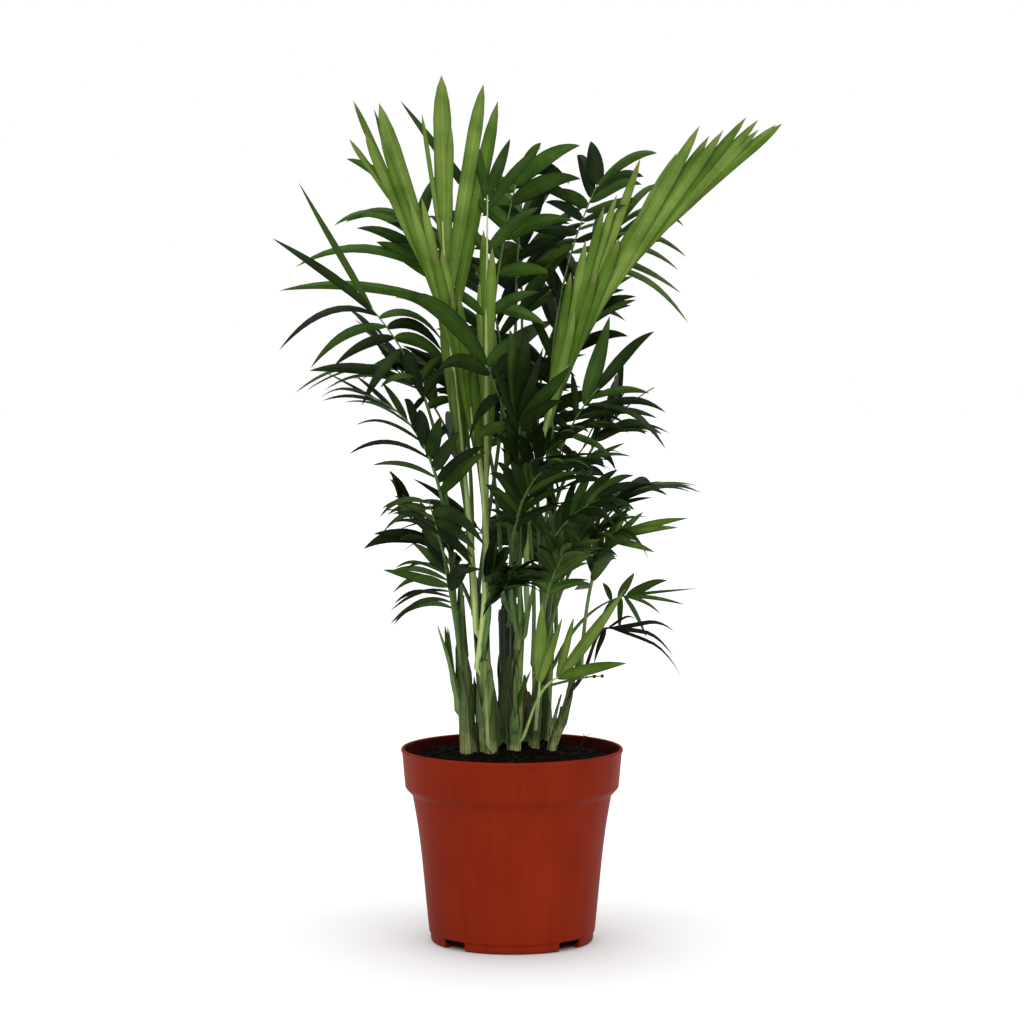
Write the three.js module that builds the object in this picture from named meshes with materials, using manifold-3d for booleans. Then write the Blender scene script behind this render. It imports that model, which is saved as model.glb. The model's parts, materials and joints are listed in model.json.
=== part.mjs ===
// A parlour palm growing in a round nursery pot, in millimetres.
// +Z is up, the pot stands on z = 0 with its axis on the Z axis, and -Y is the front.
// Eleven canes stand in the soil. Each frond leaves its cane as a bare stalk, which becomes the
// rib that carries two rows of leaflets. A seeded rule grows the leaflets one by one, and each
// keeps clear of all that grew before it.

import * as THREE from 'three';
import { mergeVertices } from 'three/addons/utils/BufferGeometryUtils.js';
import Module from 'manifold-3d';

const wasm = await Module();
wasm.setup();

// ---------------------------------------------------------------- pot and soil
const RIM_RADIUS = 60;
const POT_HEIGHT = 105;
const BAND_HEIGHT = 21.4;
const BAND_FOOT_RADIUS = 57.7;
const NECK_RADIUS = 53.8;
const SHOULDER_RADIUS = 51.2;
const SHOULDER_HEIGHT = 65;
const WAIST_RADIUS = 49;
const WAIST_HEIGHT = 48;
const HEEL_RADIUS = 44.9;
const FOOT_RADIUS = 44.1;
const FOOT_HEIGHT = 4.7;
const WALL = 1.3;
const LIP = 0.7;
const FLOOR = 1.8;
const POT_SIDES = 40;

const NOTCHES = 4;
const NOTCH_WIDTH = 15.5;
const NOTCH_HEIGHT = 5.4;
const NOTCH_CORNER = 1.2;
const NOTCH_REACH_IN = 36;

const GAP = 0.3; // what pieces that touch keep between them
const SOIL_EDGE = 98;
const SOIL_CROWN = 7.5;
const SOIL_LUMP = 0.8;
const SOIL_SIDES = 28;
const SOIL_RIPPLES = [0.31, 0.27, 0.13, 0.19]; // turns of the lumps, in radians per millimetre
const SEAT = 1.8; // how deep a cane's foot is pressed into the soil

// ---------------------------------------------------------------- canes
// foot and head are the middle of the cane where it leaves the soil and where it ends, top is
// the height of that end, and wide and thin are the radii there.
const CANES = [
  { name: 'cane_left', foot: [-22.6, -5], head: [-28, -6], top: 188, wide: 4.6, thin: 1.8 },
  { name: 'cane_young', foot: [-12.2, -16], head: [-15.4, -13], top: 174, wide: 4.0, thin: 2.7 },
  { name: 'cane_centre', foot: [-3.9, 2], head: [-4, 1], top: 180, wide: 3.6, thin: 3.2 },
  { name: 'cane_front', foot: [1.3, -13], head: [4.6, -12], top: 184, wide: 4.2, thin: 2.6 },
  { name: 'cane_husk', foot: [5.8, 7], head: [6.6, 9], top: 134, wide: 4.2, thin: 2.6 },
  { name: 'cane_right', foot: [12, -9], head: [14, -10], top: 164, wide: 3.1, thin: 2.1 },
  { name: 'cane_slim', foot: [17.9, 7], head: [21.4, 8], top: 166, wide: 2.5, thin: 1.7 },
  { name: 'cane_leaning', foot: [20.4, -6], head: [36, -10], top: 154, wide: 2.2, thin: 1.4 },
  { name: 'cane_back_left', foot: [-14, 14], head: [-19, 22], top: 186, wide: 3.9, thin: 2.4 },
  { name: 'cane_back', foot: [-2, 23], head: [-1, 32], top: 192, wide: 4.1, thin: 2.6 },
  { name: 'cane_back_right', foot: [14, 21], head: [20, 30], top: 182, wide: 3.6, thin: 2.3 },
];
const CANE_SIDES = 8;
const CANE_RINGS = 5;
const CANE_TAPER = 0.7; // below 1, the cane narrows soonest near its foot
const CANE_SWELL = 0.06; // share by which a sheath is thicker at its middle

// ---------------------------------------------------------------- fronds
// cane and foot are the cane and the height at which the stalk leaves it, and tip is where the
// rib ends. lean is the stalk's first angle from upright and nod the rib's last angle above
// level. bare is the share of the stalk without leaflets, leaf and wide are the size of the
// longest leaflet, and open and close a leaflet's angle from the rib at the first and the last
// pair. lift raises leaflets out of the frond's plane, droop bends them down, hook bends them
// forward, and roll turns the frond about its rib. A stalk without pairs is a young shoot, or
// with buds the flower stalk. Angles are in degrees.
const FROND = {
  lean: 8, nod: 40, bare: 0.52, pairs: 6, leaf: 74, wide: 8.5, open: 64, close: 20,
  lift: 8, droop: 0.36, hook: 0.06, roll: 0, stalk: 1.3, buds: 0, tone: 'dark',
};
const FRONDS = [
  {
    name: 'frond_spear_middle', cane: 1, foot: 170, tip: [-37, -9, 388], lean: 2, nod: 88,
    bare: 0.95, pairs: 1, leaf: 97, wide: 11, open: 20, close: 1, lift: 0, droop: 0, hook: 0.02,
    roll: -80, stalk: 2, tone: 'fresh',
  },
  {
    name: 'frond_spear_left', cane: 1, foot: 150, tip: [-60, -17, 402], lean: -9, nod: 67,
    bare: 0.6, pairs: 6, leaf: 70, wide: 7, open: 4, close: 8, lift: 0, droop: 0, hook: 0.02,
    roll: -74, stalk: 2, tone: 'fresh',
  },
  {
    name: 'frond_spear_right', cane: 1, foot: 160, tip: [-13, -3, 402], lean: 2, nod: 86,
    bare: 0.76, pairs: 2, leaf: 78, wide: 8, open: 6, close: 5, lift: 0, droop: 0, hook: 0,
    roll: 0, stalk: 1.8, tone: 'fresh',
  },
  {
    name: 'frond_fan', cane: 3, foot: 180, tip: [105, -4, 412], lean: -4, nod: 40, bare: 0.52,
    pairs: 8, leaf: 78, wide: 7.5, open: 14, close: 7, lift: 0, droop: 0.01, hook: 0, roll: 72,
    stalk: 1.8, tone: 'fresh',
  },
  {
    name: 'frond_high_left', cane: 0, foot: 184, tip: [-75, -12, 342], lean: 4, nod: 48,
    bare: 0.56, pairs: 5, leaf: 80, wide: 7, open: 70, close: 16, lift: 4, droop: 0.36,
    hook: 0.1, roll: -62,
  },
  {
    name: 'frond_mid_left', cane: 0, foot: 172, tip: [-78, -32, 297], lean: 8, nod: 16,
    bare: 0.46, pairs: 6, leaf: 44, wide: 6, open: 62, close: 24, lift: 0, droop: 0.3,
    hook: 0.1, roll: 34,
  },
  {
    name: 'frond_far_left', cane: 8, foot: 184, tip: [-61, 40, 404], lean: -2, nod: 62,
    bare: 0.52, pairs: 6, leaf: 76, wide: 8.5, open: 74, close: 34, lift: 6, droop: 0.5,
    hook: 0.1, roll: -44, tone: 'mid',
  },
  {
    name: 'frond_low_left', cane: 0, foot: 150, tip: [-36, -23, 207], lean: 8, nod: 72,
    bare: 0.5, pairs: 4, leaf: 54, wide: 5, open: 86, close: 66, droop: 0.4, roll: -10,
  },
  {
    name: 'frond_lower_left', cane: 0, foot: 164, tip: [-44, -28, 240], lean: 8, nod: 66,
    bare: 0.6, pairs: 5, leaf: 43, wide: 4.5, open: 82, close: 50, droop: 0.5, roll: -10,
  },
  {
    name: 'frond_high_centre', cane: 8, foot: 180, tip: [3, 22, 412], lean: 0, nod: 76,
    bare: 0.58, pairs: 6, leaf: 62, wide: 9, open: 66, close: 34, droop: 0.2, roll: 60,
    tone: 'mid',
  },
  {
    name: 'frond_high_right', cane: 6, foot: 164, tip: [46, 12, 408], lean: 0, nod: 64,
    bare: 0.54, pairs: 6, leaf: 56, wide: 9.5, open: 66, close: 26, droop: 0.3, roll: 40,
  },
  {
    name: 'frond_mid_right', cane: 5, foot: 160, tip: [46, -22, 300], lean: 0, nod: 46,
    bare: 0.68, pairs: 5, leaf: 70, wide: 6.5, open: 76, close: 28, droop: 0.3, roll: 50,
  },
  {
    name: 'frond_centre', cane: 5, foot: 152, tip: [-14, -30, 314], lean: 2, nod: 68,
    bare: 0.56, pairs: 5, leaf: 66, wide: 10.5, open: 72, close: 50, droop: 0.3, roll: -60,
  },
  {
    name: 'frond_inner_right', cane: 3, foot: 168, tip: [46, -40, 242], lean: 12, nod: 22,
    bare: 0.42, pairs: 6, leaf: 42, wide: 6, open: 72, close: 28, droop: 0.16, roll: 50,
  },
  {
    name: 'frond_bright_right', cane: 7, foot: 150, tip: [68, -22, 222], lean: 4, nod: -18,
    bare: 0.5, pairs: 6, leaf: 38, wide: 5, open: 62, close: 18, droop: 0.16, roll: 30,
    tone: 'mid',
  },
  {
    name: 'frond_low_right', cane: 6, foot: 150, tip: [62, 2, 187], lean: 24, nod: 12,
    bare: 0.5, pairs: 5, leaf: 38, wide: 5.5, open: 62, close: 22, droop: 0.3, roll: 40,
  },
  {
    name: 'frond_withered', cane: 7, foot: 140, tip: [54, -15, 171], lean: 40, nod: -10,
    bare: 0.9, pairs: 1, leaf: 48, wide: 3.2, open: 12, close: 18, lift: 0, droop: 0.14,
    hook: 0.1, roll: 76, tone: 'dead',
  },
  {
    name: 'frond_seedling_tall', cane: 5, foot: 118, tip: [14.5, -34, 147], lean: 30, nod: 88,
    bare: 0.7, pairs: 1, leaf: 50, wide: 7, open: 14, close: 4, lift: 0, droop: 0, hook: 0,
    roll: 0, stalk: 1, tone: 'fresh',
  },
  {
    name: 'frond_seedling_right', cane: 3, foot: 112, tip: [25, -24, 146], lean: 24, nod: 24,
    bare: 0.84, pairs: 1, leaf: 70, wide: 7, open: 24, close: 18, lift: 0, droop: 0.02, hook: 0,
    roll: 76, stalk: 1, tone: 'fresh',
  },
  {
    name: 'frond_outer_right', cane: 10, foot: 178, tip: [56, 32, 384], lean: 0, nod: 44,
    bare: 0.6, pairs: 5, leaf: 56, wide: 6, open: 66, close: 30, droop: 0.6, hook: 0.1,
    roll: 40,
  },
  {
    name: 'frond_slender', cane: 9, foot: 190, tip: [7, 34, 418], lean: 0, nod: 84, bare: 0.74,
    pairs: 4, leaf: 52, wide: 8, open: 56, close: 26, droop: 0.4, roll: 30,
  },
  {
    name: 'frond_centre_broad', cane: 3, foot: 176, tip: [4, -36, 292], lean: 4, nod: 72,
    bare: 0.7, pairs: 3, leaf: 44, wide: 13, open: 34, close: 8, lift: 0, droop: 0.06, roll: 10,
  },
  {
    name: 'shoot_left', cane: 0, foot: 126, tip: [-40, -9, 172], lean: 2, nod: 72, pairs: 0,
    stalk: 2.2, tone: 'mid',
  },
  {
    name: 'shoot_centre', cane: 3, foot: 118, tip: [1.5, -21, 147], lean: 6, nod: 80, pairs: 0,
    stalk: 1.9, tone: 'mid',
  },
  {
    name: 'flower_stalk', cane: 5, foot: 139, tip: [48, -28, 147], lean: 76, nod: 4, pairs: 0,
    stalk: 0.95, buds: 5, tone: 'mid',
  },
];

// Fronds that fill the crown all round: each row is one turn of fronds at like heights, on its
// canes by turns. from and to are the bearings of the first and the last, in degrees from +X,
// and reach and height say where their ribs end.
const WHORLS = [
  {
    name: 'frond_front', canes: [3, 2, 5], from: -76, to: -30, count: 3, reach: 56, height: 280,
    leaf: 56,
  },
  {
    name: 'frond_front_low', canes: [0, 1, 3, 5, 5], from: -150, to: -26, count: 5, reach: 44,
    height: 206, leaf: 44,
  },
  {
    name: 'frond_back_low', canes: [8, 9, 10, 10], from: 142, to: 28, count: 4, reach: 60,
    height: 228, leaf: 50,
  },
  {
    name: 'frond_back_mid', canes: [8, 9, 9, 10, 10], from: 158, to: 26, count: 5, reach: 76,
    height: 318, leaf: 64,
  },
  {
    name: 'frond_back_high', canes: [8, 9, 10], from: 130, to: 40, count: 3, reach: 60,
    height: 392, leaf: 66,
  },
];
const WHORL_SCATTER = 14; // in degrees and in millimetres
const WHORL_LEAN = 4;
const WHORL_NOD = 30;
const WHORL_SEED = 900;

// Ways for a stalk round what stands before it: how far it starts round its cane from the side
// it leans to, in degrees, and how far it bows sideways.
const ROUTES = [0, 45, -45, 90, -90, 135, -135].flatMap((spin) => (
  [0, 4, -4, 8, -8, 13, -13].map((bow) => ({ spin, bow }))
));

const RIB_SIDES = 3;
const RIB_RINGS = 7;
const RIB_PULL = 0.36; // how far a rib keeps its first and last direction, as a share of its span
const RIB_TIP_RADIUS = 0.75;
const LEAF_ROWS = [0, 0.27, 0.66, 1];
const LEAF_THICK = 0.012; // share of a leaflet's length
const LEAF_LAST = 0.97; // where the last pair stands on the rib
const LEAF_SMALLEST = 0.62; // the first pair's length, as a share of the longest
const LEAF_SPREAD = 0.14; // share by which leaflets of one frond differ
const LEAF_TOSS = 10; // degrees by which a leaflet stands off the frond's plane
const LEAF_TURN = 24; // degrees by which a blade is turned about itself
const LEAF_SEED = 1000;
const SEED_STEP = 61;
const BUD_RADIUS = 1.7;
const BUDS_FROM = 0.5; // where the first bud sits on its stalk
// What a leaflet tries in turn until it is clear: more or less lift, in degrees, and its size.
const TRIES = [
  { lift: 0, scale: 1 }, { lift: 10, scale: 1 }, { lift: -10, scale: 1 },
  { lift: 20, scale: 0.95 }, { lift: -20, scale: 0.95 }, { lift: 32, scale: 0.85 },
  { lift: -32, scale: 0.85 }, { lift: 14, scale: 0.7 }, { lift: -14, scale: 0.7 },
];

const COLOURS = {
  pot: 0x8c2c17, soil: 0x1f1812, cane: 0x8a9a5c, dark: 0x2c4620, mid: 0x45692a,
  fresh: 0x6f9a3c, dead: 0x221d16,
};

const UP = new THREE.Vector3(0, 0, 1);
const RADIANS = Math.PI / 180;

// ---------------------------------------------------------------- helpers
function stream(seed) {
  let state = seed;
  return () => {
    state = (Math.imul(state, 1664525) + 1013904223) >>> 0;
    return state / 4294967296;
  };
}

function mix(a, b, share) {
  return a + (b - a) * share;
}

function reshape(geometry, place) {
  const position = geometry.attributes.position;
  const point = new THREE.Vector3();
  for (let i = 0; i < position.count; i += 1) {
    point.fromBufferAttribute(position, i);
    const moved = place(point);
    position.setXYZ(i, moved.x, moved.y, moved.z);
  }
  return geometry;
}

function solidOf(geometry) {
  const bare = new THREE.BufferGeometry();
  bare.setAttribute('position', geometry.attributes.position.clone());
  if (geometry.index) {
    bare.setIndex(geometry.index.clone());
  }
  const welded = mergeVertices(bare, 1e-4);
  const corners = welded.index.array;
  const triangles = [];
  for (let i = 0; i < corners.length; i += 3) {
    const [a, b, c] = corners.slice(i, i + 3);
    if (a !== b && b !== c && c !== a) {
      triangles.push(a, b, c);
    }
  }
  const points = new Float32Array(welded.attributes.position.array);
  const make = (list) => new wasm.Manifold(
    new wasm.Mesh({ numProp: 3, vertProperties: points, triVerts: new Uint32Array(list) }),
  );
  const solid = make(triangles);
  return solid.volume() > 0 ? solid : make(triangles.reverse());
}

function largest(solid) {
  return solid.decompose().sort((a, b) => b.volume() - a.volume())[0];
}

function meshOf(name, solid, colour, roughness) {
  const made = solid.getMesh();
  const geometry = new THREE.BufferGeometry();
  geometry.setAttribute('position', new THREE.BufferAttribute(new Float32Array(made.vertProperties), 3));
  geometry.setIndex(new THREE.BufferAttribute(new Uint32Array(made.triVerts), 1));
  geometry.computeVertexNormals();
  const material = new THREE.MeshStandardMaterial({ color: colour, roughness, metalness: 0 });
  const mesh = new THREE.Mesh(geometry, material);
  mesh.name = name;
  return mesh;
}

// ---------------------------------------------------------------- what later pieces keep clear of
const grown = [];

function near(a, b) {
  return [0, 1, 2].every((k) => a.min[k] < b.max[k] && b.min[k] < a.max[k]);
}

function keep(owner, solid) {
  grown.push({ owner, solid, box: solid.boundingBox() });
}

// Whether a solid that was drawn larger by the gap meets nothing but what its owners hold.
function clears(owners, swollen) {
  const box = swollen.boundingBox();
  return grown.every((other) => {
    if (owners.includes(other.owner) || !near(box, other.box)) {
      return true;
    }
    const shared = swollen.intersect(other.solid);
    const empty = shared.isEmpty();
    shared.delete();
    return empty;
  });
}

// ---------------------------------------------------------------- pot
function lathe(profile, sides) {
  const points = profile.map(([radius, height]) => new THREE.Vector2(radius, height));
  return solidOf(new THREE.LatheGeometry(points, sides).rotateX(Math.PI / 2));
}

const bandFoot = POT_HEIGHT - BAND_HEIGHT;
const neckHeight = bandFoot - 4;
const innerWall = [
  [FOOT_RADIUS - WALL - 1, FLOOR],
  [HEEL_RADIUS - WALL, FOOT_HEIGHT + 0.6],
  [WAIST_RADIUS - WALL, WAIST_HEIGHT],
  [SHOULDER_RADIUS - WALL, SHOULDER_HEIGHT],
  [NECK_RADIUS - WALL, neckHeight],
  [BAND_FOOT_RADIUS - WALL, bandFoot + 0.8],
  [RIM_RADIUS - LIP - WALL, POT_HEIGHT - 1.6],
];
const potProfile = [
  [0, 0],
  [FOOT_RADIUS - 1.6, 0],
  [FOOT_RADIUS - 0.4, 0.6],
  [FOOT_RADIUS, 2],
  [FOOT_RADIUS, FOOT_HEIGHT],
  [HEEL_RADIUS, FOOT_HEIGHT + 0.6],
  [WAIST_RADIUS, WAIST_HEIGHT],
  [SHOULDER_RADIUS, SHOULDER_HEIGHT],
  [NECK_RADIUS, neckHeight],
  [BAND_FOOT_RADIUS - 0.8, bandFoot - 0.8],
  [BAND_FOOT_RADIUS, bandFoot + 0.4],
  [RIM_RADIUS - LIP, POT_HEIGHT - 2.6],
  [RIM_RADIUS, POT_HEIGHT - 1.7],
  [RIM_RADIUS - 0.2, POT_HEIGHT - 0.5],
  [RIM_RADIUS - 0.8, POT_HEIGHT],
  [RIM_RADIUS - LIP - WALL + 0.3, POT_HEIGHT - 0.3],
  ...innerWall.toReversed(),
  [0, FLOOR],
];

function notch(turn) {
  const half = NOTCH_WIDTH / 2;
  const outline = new THREE.Shape();
  outline.moveTo(-half, -1);
  outline.lineTo(half, -1);
  outline.lineTo(half, NOTCH_HEIGHT - NOTCH_CORNER);
  outline.lineTo(half - NOTCH_CORNER, NOTCH_HEIGHT);
  outline.lineTo(NOTCH_CORNER - half, NOTCH_HEIGHT);
  outline.lineTo(-half, NOTCH_HEIGHT - NOTCH_CORNER);
  outline.closePath();
  const depth = RIM_RADIUS - NOTCH_REACH_IN;
  const block = new THREE.ExtrudeGeometry(outline, { depth, bevelEnabled: false });
  block.rotateX(Math.PI / 2);
  block.translate(0, -NOTCH_REACH_IN, 0);
  block.rotateZ(turn);
  return solidOf(block);
}

let pot = lathe(potProfile, POT_SIDES);
for (let i = 0; i < NOTCHES; i += 1) {
  pot = pot.subtract(notch((i + 0.5) * 2 * Math.PI / NOTCHES));
}
keep('pot', pot);

// ---------------------------------------------------------------- canes
function caneAt(cane, height) {
  const share = (height - cane.base) / (cane.top - cane.base);
  const swell = 1 + CANE_SWELL * Math.sin(Math.PI * share);
  return {
    x: mix(cane.foot[0], cane.head[0], share),
    y: mix(cane.foot[1], cane.head[1], share),
    radius: mix(cane.wide, cane.thin, Math.max(0, share) ** CANE_TAPER) * swell,
  };
}

function soilHeight(x, y) {
  const share = Math.min(1, Math.hypot(x, y) / RIM_RADIUS);
  const [a, b, c, d] = SOIL_RIPPLES;
  const lumps = Math.sin(x * a + 1.3) * Math.cos(y * b - 0.4) + Math.sin(x * c - y * d);
  return SOIL_EDGE + SOIL_CROWN * (1 - share * share) ** 2 + SOIL_LUMP * lumps * (1 - share ** 4);
}

function caneSolid(cane, grow) {
  const bar = new THREE.CylinderGeometry(1, 1, 1, CANE_SIDES, CANE_RINGS);
  return solidOf(reshape(bar, (point) => {
    const height = mix(cane.base, cane.top, point.y + 0.5);
    const { x, y, radius } = caneAt(cane, height);
    const reach = radius + grow;
    const rise = grow * Math.sign(point.y) * (Math.abs(point.y) > 0.49 ? 1 : 0);
    return new THREE.Vector3(x + point.x * reach, y + point.z * reach, height + rise);
  }));
}

for (const cane of CANES) {
  cane.base = soilHeight(...cane.foot) - SEAT;
}

// ---------------------------------------------------------------- soil
const soilFoot = FLOOR + GAP;
const soilWall = innerWall.slice(0, -1).map(([radius, height], i) => (
  i === 0 ? [radius - GAP, soilFoot] : [radius - 1.5 * GAP, height]
));
const soilRims = [1, 0.82, 0.62, 0.4, 0.2];
const soilEdgeRadius = mix(BAND_FOOT_RADIUS, RIM_RADIUS - LIP, 0.6) - WALL - GAP;
const soilProfile = [
  [0, soilFoot],
  ...soilWall,
  ...soilRims.map((share) => [soilEdgeRadius * share, SOIL_EDGE]),
  [0, SOIL_EDGE],
];
const soilPoints = soilProfile.map(([radius, height]) => new THREE.Vector2(radius, height));
const soilShape = new THREE.LatheGeometry(soilPoints, SOIL_SIDES).rotateX(Math.PI / 2);
let soil = solidOf(reshape(soilShape, (point) => {
  const isTop = point.z > SOIL_EDGE - 1;
  return new THREE.Vector3(point.x, point.y, isTop ? soilHeight(point.x, point.y) : point.z);
}));
for (const cane of CANES) {
  soil = soil.subtract(caneSolid(cane, GAP));
}
keep('soil', soil);

for (const cane of CANES) {
  cane.solid = caneSolid(cane, 0);
  keep(cane.name, cane.solid);
}

// ---------------------------------------------------------------- ribs
function ribOf(row) {
  const cane = CANES[row.cane];
  const { x, y, radius } = caneAt(cane, row.foot);
  const end = new THREE.Vector3(...row.tip);
  const outward = new THREE.Vector3(end.x - x, end.y - y, 0).normalize();
  const beside = outward.clone().applyAxisAngle(UP, row.spin * RADIANS);
  const start = new THREE.Vector3(x, y, row.foot).addScaledVector(beside, radius + row.seat);
  const pull = start.distanceTo(end) * RIB_PULL;
  const slant = (angle) => outward.clone().multiplyScalar(Math.sin(angle * RADIANS))
    .addScaledVector(UP, Math.cos(angle * RADIANS));
  const first = start.clone().addScaledVector(slant(row.lean), pull);
  const last = end.clone().addScaledVector(slant(90 - row.nod), -pull);
  const bow = new THREE.Vector3(-outward.y, outward.x, 0).multiplyScalar(row.bow);
  const curve = new THREE.CubicBezierCurve3(start, first.add(bow), last.add(bow), end);
  const level = new THREE.Vector3(-outward.y, outward.x, 0);
  return (share) => {
    const along = curve.getTangent(share);
    const side = level.clone().addScaledVector(along, -level.dot(along)).normalize();
    side.applyAxisAngle(along, row.roll * RADIANS * Math.min(1, share / row.bare));
    const face = along.clone().cross(side);
    const radiusHere = mix(row.stalk, RIB_TIP_RADIUS, share);
    return { point: curve.getPoint(share), along, side, face, radius: radiusHere };
  };
}

function ribSolid(rib, grow) {
  const bar = new THREE.CylinderGeometry(1, 1, 1, RIB_SIDES, RIB_RINGS);
  return solidOf(reshape(bar, (point) => {
    const here = rib(point.y + 0.5);
    const reach = here.radius + grow;
    return here.point.clone()
      .addScaledVector(here.side, point.x * reach)
      .addScaledVector(here.face, point.z * reach);
  }));
}

// ---------------------------------------------------------------- leaflets
// Half a leaflet's width along its length, as a share of its widest.
function leafletShape(share) {
  const widest = (0.5 / 1.3) ** 0.5 * (0.8 / 1.3) ** 0.8;
  return Math.sqrt(share) * (1 - share) ** 0.8 / widest;
}

// A leaflet's midrib, blade direction and half width at a share of its length.
function leafletOf(leaf) {
  return (share) => {
    const bend = leaf.forward.clone().multiplyScalar(leaf.hook).addScaledVector(UP, -leaf.droop);
    const point = leaf.root.clone()
      .addScaledVector(leaf.heading, leaf.length * share)
      .addScaledVector(bend, leaf.length * share * share);
    const along = leaf.heading.clone().addScaledVector(bend, 2 * share).normalize();
    const across = leaf.face.clone().cross(along).normalize();
    const normal = along.clone().cross(across);
    return { point, across, normal, half: leaf.wide / 2 * leafletShape(share) };
  };
}

function leafletSolid(leaf) {
  const rows = LEAF_ROWS.length - 1;
  const midrib = leafletOf(leaf);
  const deep = leaf.length * LEAF_THICK;
  return solidOf(reshape(new THREE.SphereGeometry(1, 3, rows), (point) => {
    const row = Math.round(Math.acos(Math.max(-1, Math.min(1, point.y))) * rows / Math.PI);
    const here = midrib(LEAF_ROWS[row]);
    const ring = Math.sin(row * Math.PI / rows);
    if (ring < 0.1) {
      return here.point;
    }
    const across = point.z / ring / Math.sin(Math.PI / 3);
    const down = (0.5 - point.x / ring) / 1.5;
    return here.point.addScaledVector(here.across, across * here.half)
      .addScaledVector(here.normal, -down * deep);
  }));
}

// The same leaflet, drawn larger all round by the gap: a box section with a keel.
function leafletSpace(leaf) {
  const rows = LEAF_ROWS.length - 1;
  const midrib = leafletOf(leaf);
  const deep = leaf.length * LEAF_THICK;
  const corners = [[1, 1], [-1, 1], [-1, -1], [0, -2], [1, -1]];
  return solidOf(reshape(new THREE.CylinderGeometry(1, 1, 1, corners.length, rows), (point) => {
    const row = Math.round((0.5 - point.y) * rows);
    const here = midrib(LEAF_ROWS[row]);
    const turn = Math.atan2(point.x, point.z) / (2 * Math.PI) * corners.length;
    const [wide, high] = corners[(Math.round(turn) + corners.length) % corners.length];
    const isAxis = Math.hypot(point.x, point.z) < 0.5;
    const across = isAxis ? 0 : wide * (here.half + GAP);
    const up = isAxis ? 0 : (high > -2 ? high * GAP : -deep - GAP);
    return here.point.addScaledVector(here.across, across).addScaledVector(here.normal, up);
  }));
}

// Every leaflet of a frond in turn, as a function of what it tries.
function* leafletsOf(row, rib) {
  const random = stream(row.seed);
  const steps = row.pairs * 2 - 1;
  for (let i = 0; i <= steps; i += 1) {
    const order = i / steps;
    const here = rib(mix(row.bare, LEAF_LAST, order));
    const hand = i % 2 === 0 ? 1 : -1;
    const jitter = () => 1 + LEAF_SPREAD * (2 * random() - 1);
    const angle = mix(row.open, row.close, order) * jitter() * RADIANS;
    const swell = LEAF_SMALLEST + (1 - LEAF_SMALLEST) * Math.sin(Math.PI * mix(0.12, 0.8, order));
    const length = row.leaf * swell * jitter();
    const wide = row.wide * mix(0.85, 1.1, order) * jitter();
    const droop = row.droop * jitter();
    const lift = row.lift + LEAF_TOSS * (2 * random() - 1);
    const turn = LEAF_TURN * (2 * random() - 1) * RADIANS;
    yield (variant) => {
      const raise = (lift + variant.lift) * RADIANS;
      const flat = here.along.clone().multiplyScalar(Math.cos(angle))
        .addScaledVector(here.side, hand * Math.sin(angle));
      const heading = flat.clone().multiplyScalar(Math.cos(raise))
        .addScaledVector(here.face, Math.sin(raise));
      const root = here.point.clone().addScaledVector(heading, -0.5 * here.radius);
      const face = here.face.clone().applyAxisAngle(heading, turn);
      return {
        root, heading, face, forward: here.along, hook: row.hook, droop,
        length: length * variant.scale, wide,
      };
    };
  }
}

function budSolid(rib, share, grow) {
  const { x, y, z } = rib(share).point;
  return solidOf(new THREE.SphereGeometry(BUD_RADIUS + grow, 5, 4).translate(x, y, z));
}

// ---------------------------------------------------------------- grow the fronds
const rows = FRONDS.map((row) => ({ ...FROND, ...row }));
WHORLS.forEach((whorl, turn) => {
  const random = stream(WHORL_SEED + SEED_STEP * turn);
  const scatter = () => WHORL_SCATTER * (2 * random() - 1);
  for (let i = 0; i < whorl.count; i += 1) {
    const share = whorl.count > 1 ? i / (whorl.count - 1) : 0.5;
    const bearing = (mix(whorl.from, whorl.to, share) + scatter() / 2) * RADIANS;
    const reach = whorl.reach + scatter();
    const tip = [Math.cos(bearing) * reach, Math.sin(bearing) * reach, whorl.height + 1.6 * scatter()];
    const cane = whorl.canes[i % whorl.canes.length];
    rows.push({
      ...FROND,
      name: `${whorl.name}_${i + 1}`,
      cane,
      foot: CANES[cane].top - mix(4, 13, random()),
      tip,
      leaf: whorl.leaf,
      nod: WHORL_NOD + scatter(),
      roll: scatter(),
      lean: WHORL_LEAN,
    });
  }
});

const fronds = [];
rows.forEach((row, index) => {
  const cane = CANES[row.cane];
  row.seed = LEAF_SEED + SEED_STEP * index;
  row.seat = row.stalk / 2 + GAP;
  const free = ROUTES.find((route) => {
    const rib = ribOf({ ...row, ...route });
    return clears([row.name, cane.name], ribSolid(rib, 2 * GAP));
  });
  if (!free) {
    return;
  }
  const rib = ribOf({ ...row, ...free });
  const solid = largest(ribSolid(rib, 0).subtract(caneSolid(cane, GAP)));
  keep(row.name, solid);
  const frond = { row, rib, solids: [solid] };
  for (let i = 0; i < row.buds; i += 1) {
    const share = mix(BUDS_FROM, 1, i / (row.buds - 1));
    if (clears([row.name], budSolid(rib, share, GAP))) {
      frond.solids.push(budSolid(rib, share, 0));
      keep(row.name, frond.solids.at(-1));
    }
  }
  fronds.push(frond);
});

for (const frond of fronds) {
  for (const leafAt of leafletsOf(frond.row, frond.rib)) {
    const variant = TRIES.find((option) => clears([frond.row.name], leafletSpace(leafAt(option))));
    if (variant) {
      const solid = leafletSolid(leafAt(variant));
      keep(frond.row.name, solid);
      frond.solids.push(solid);
    }
  }
}

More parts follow.
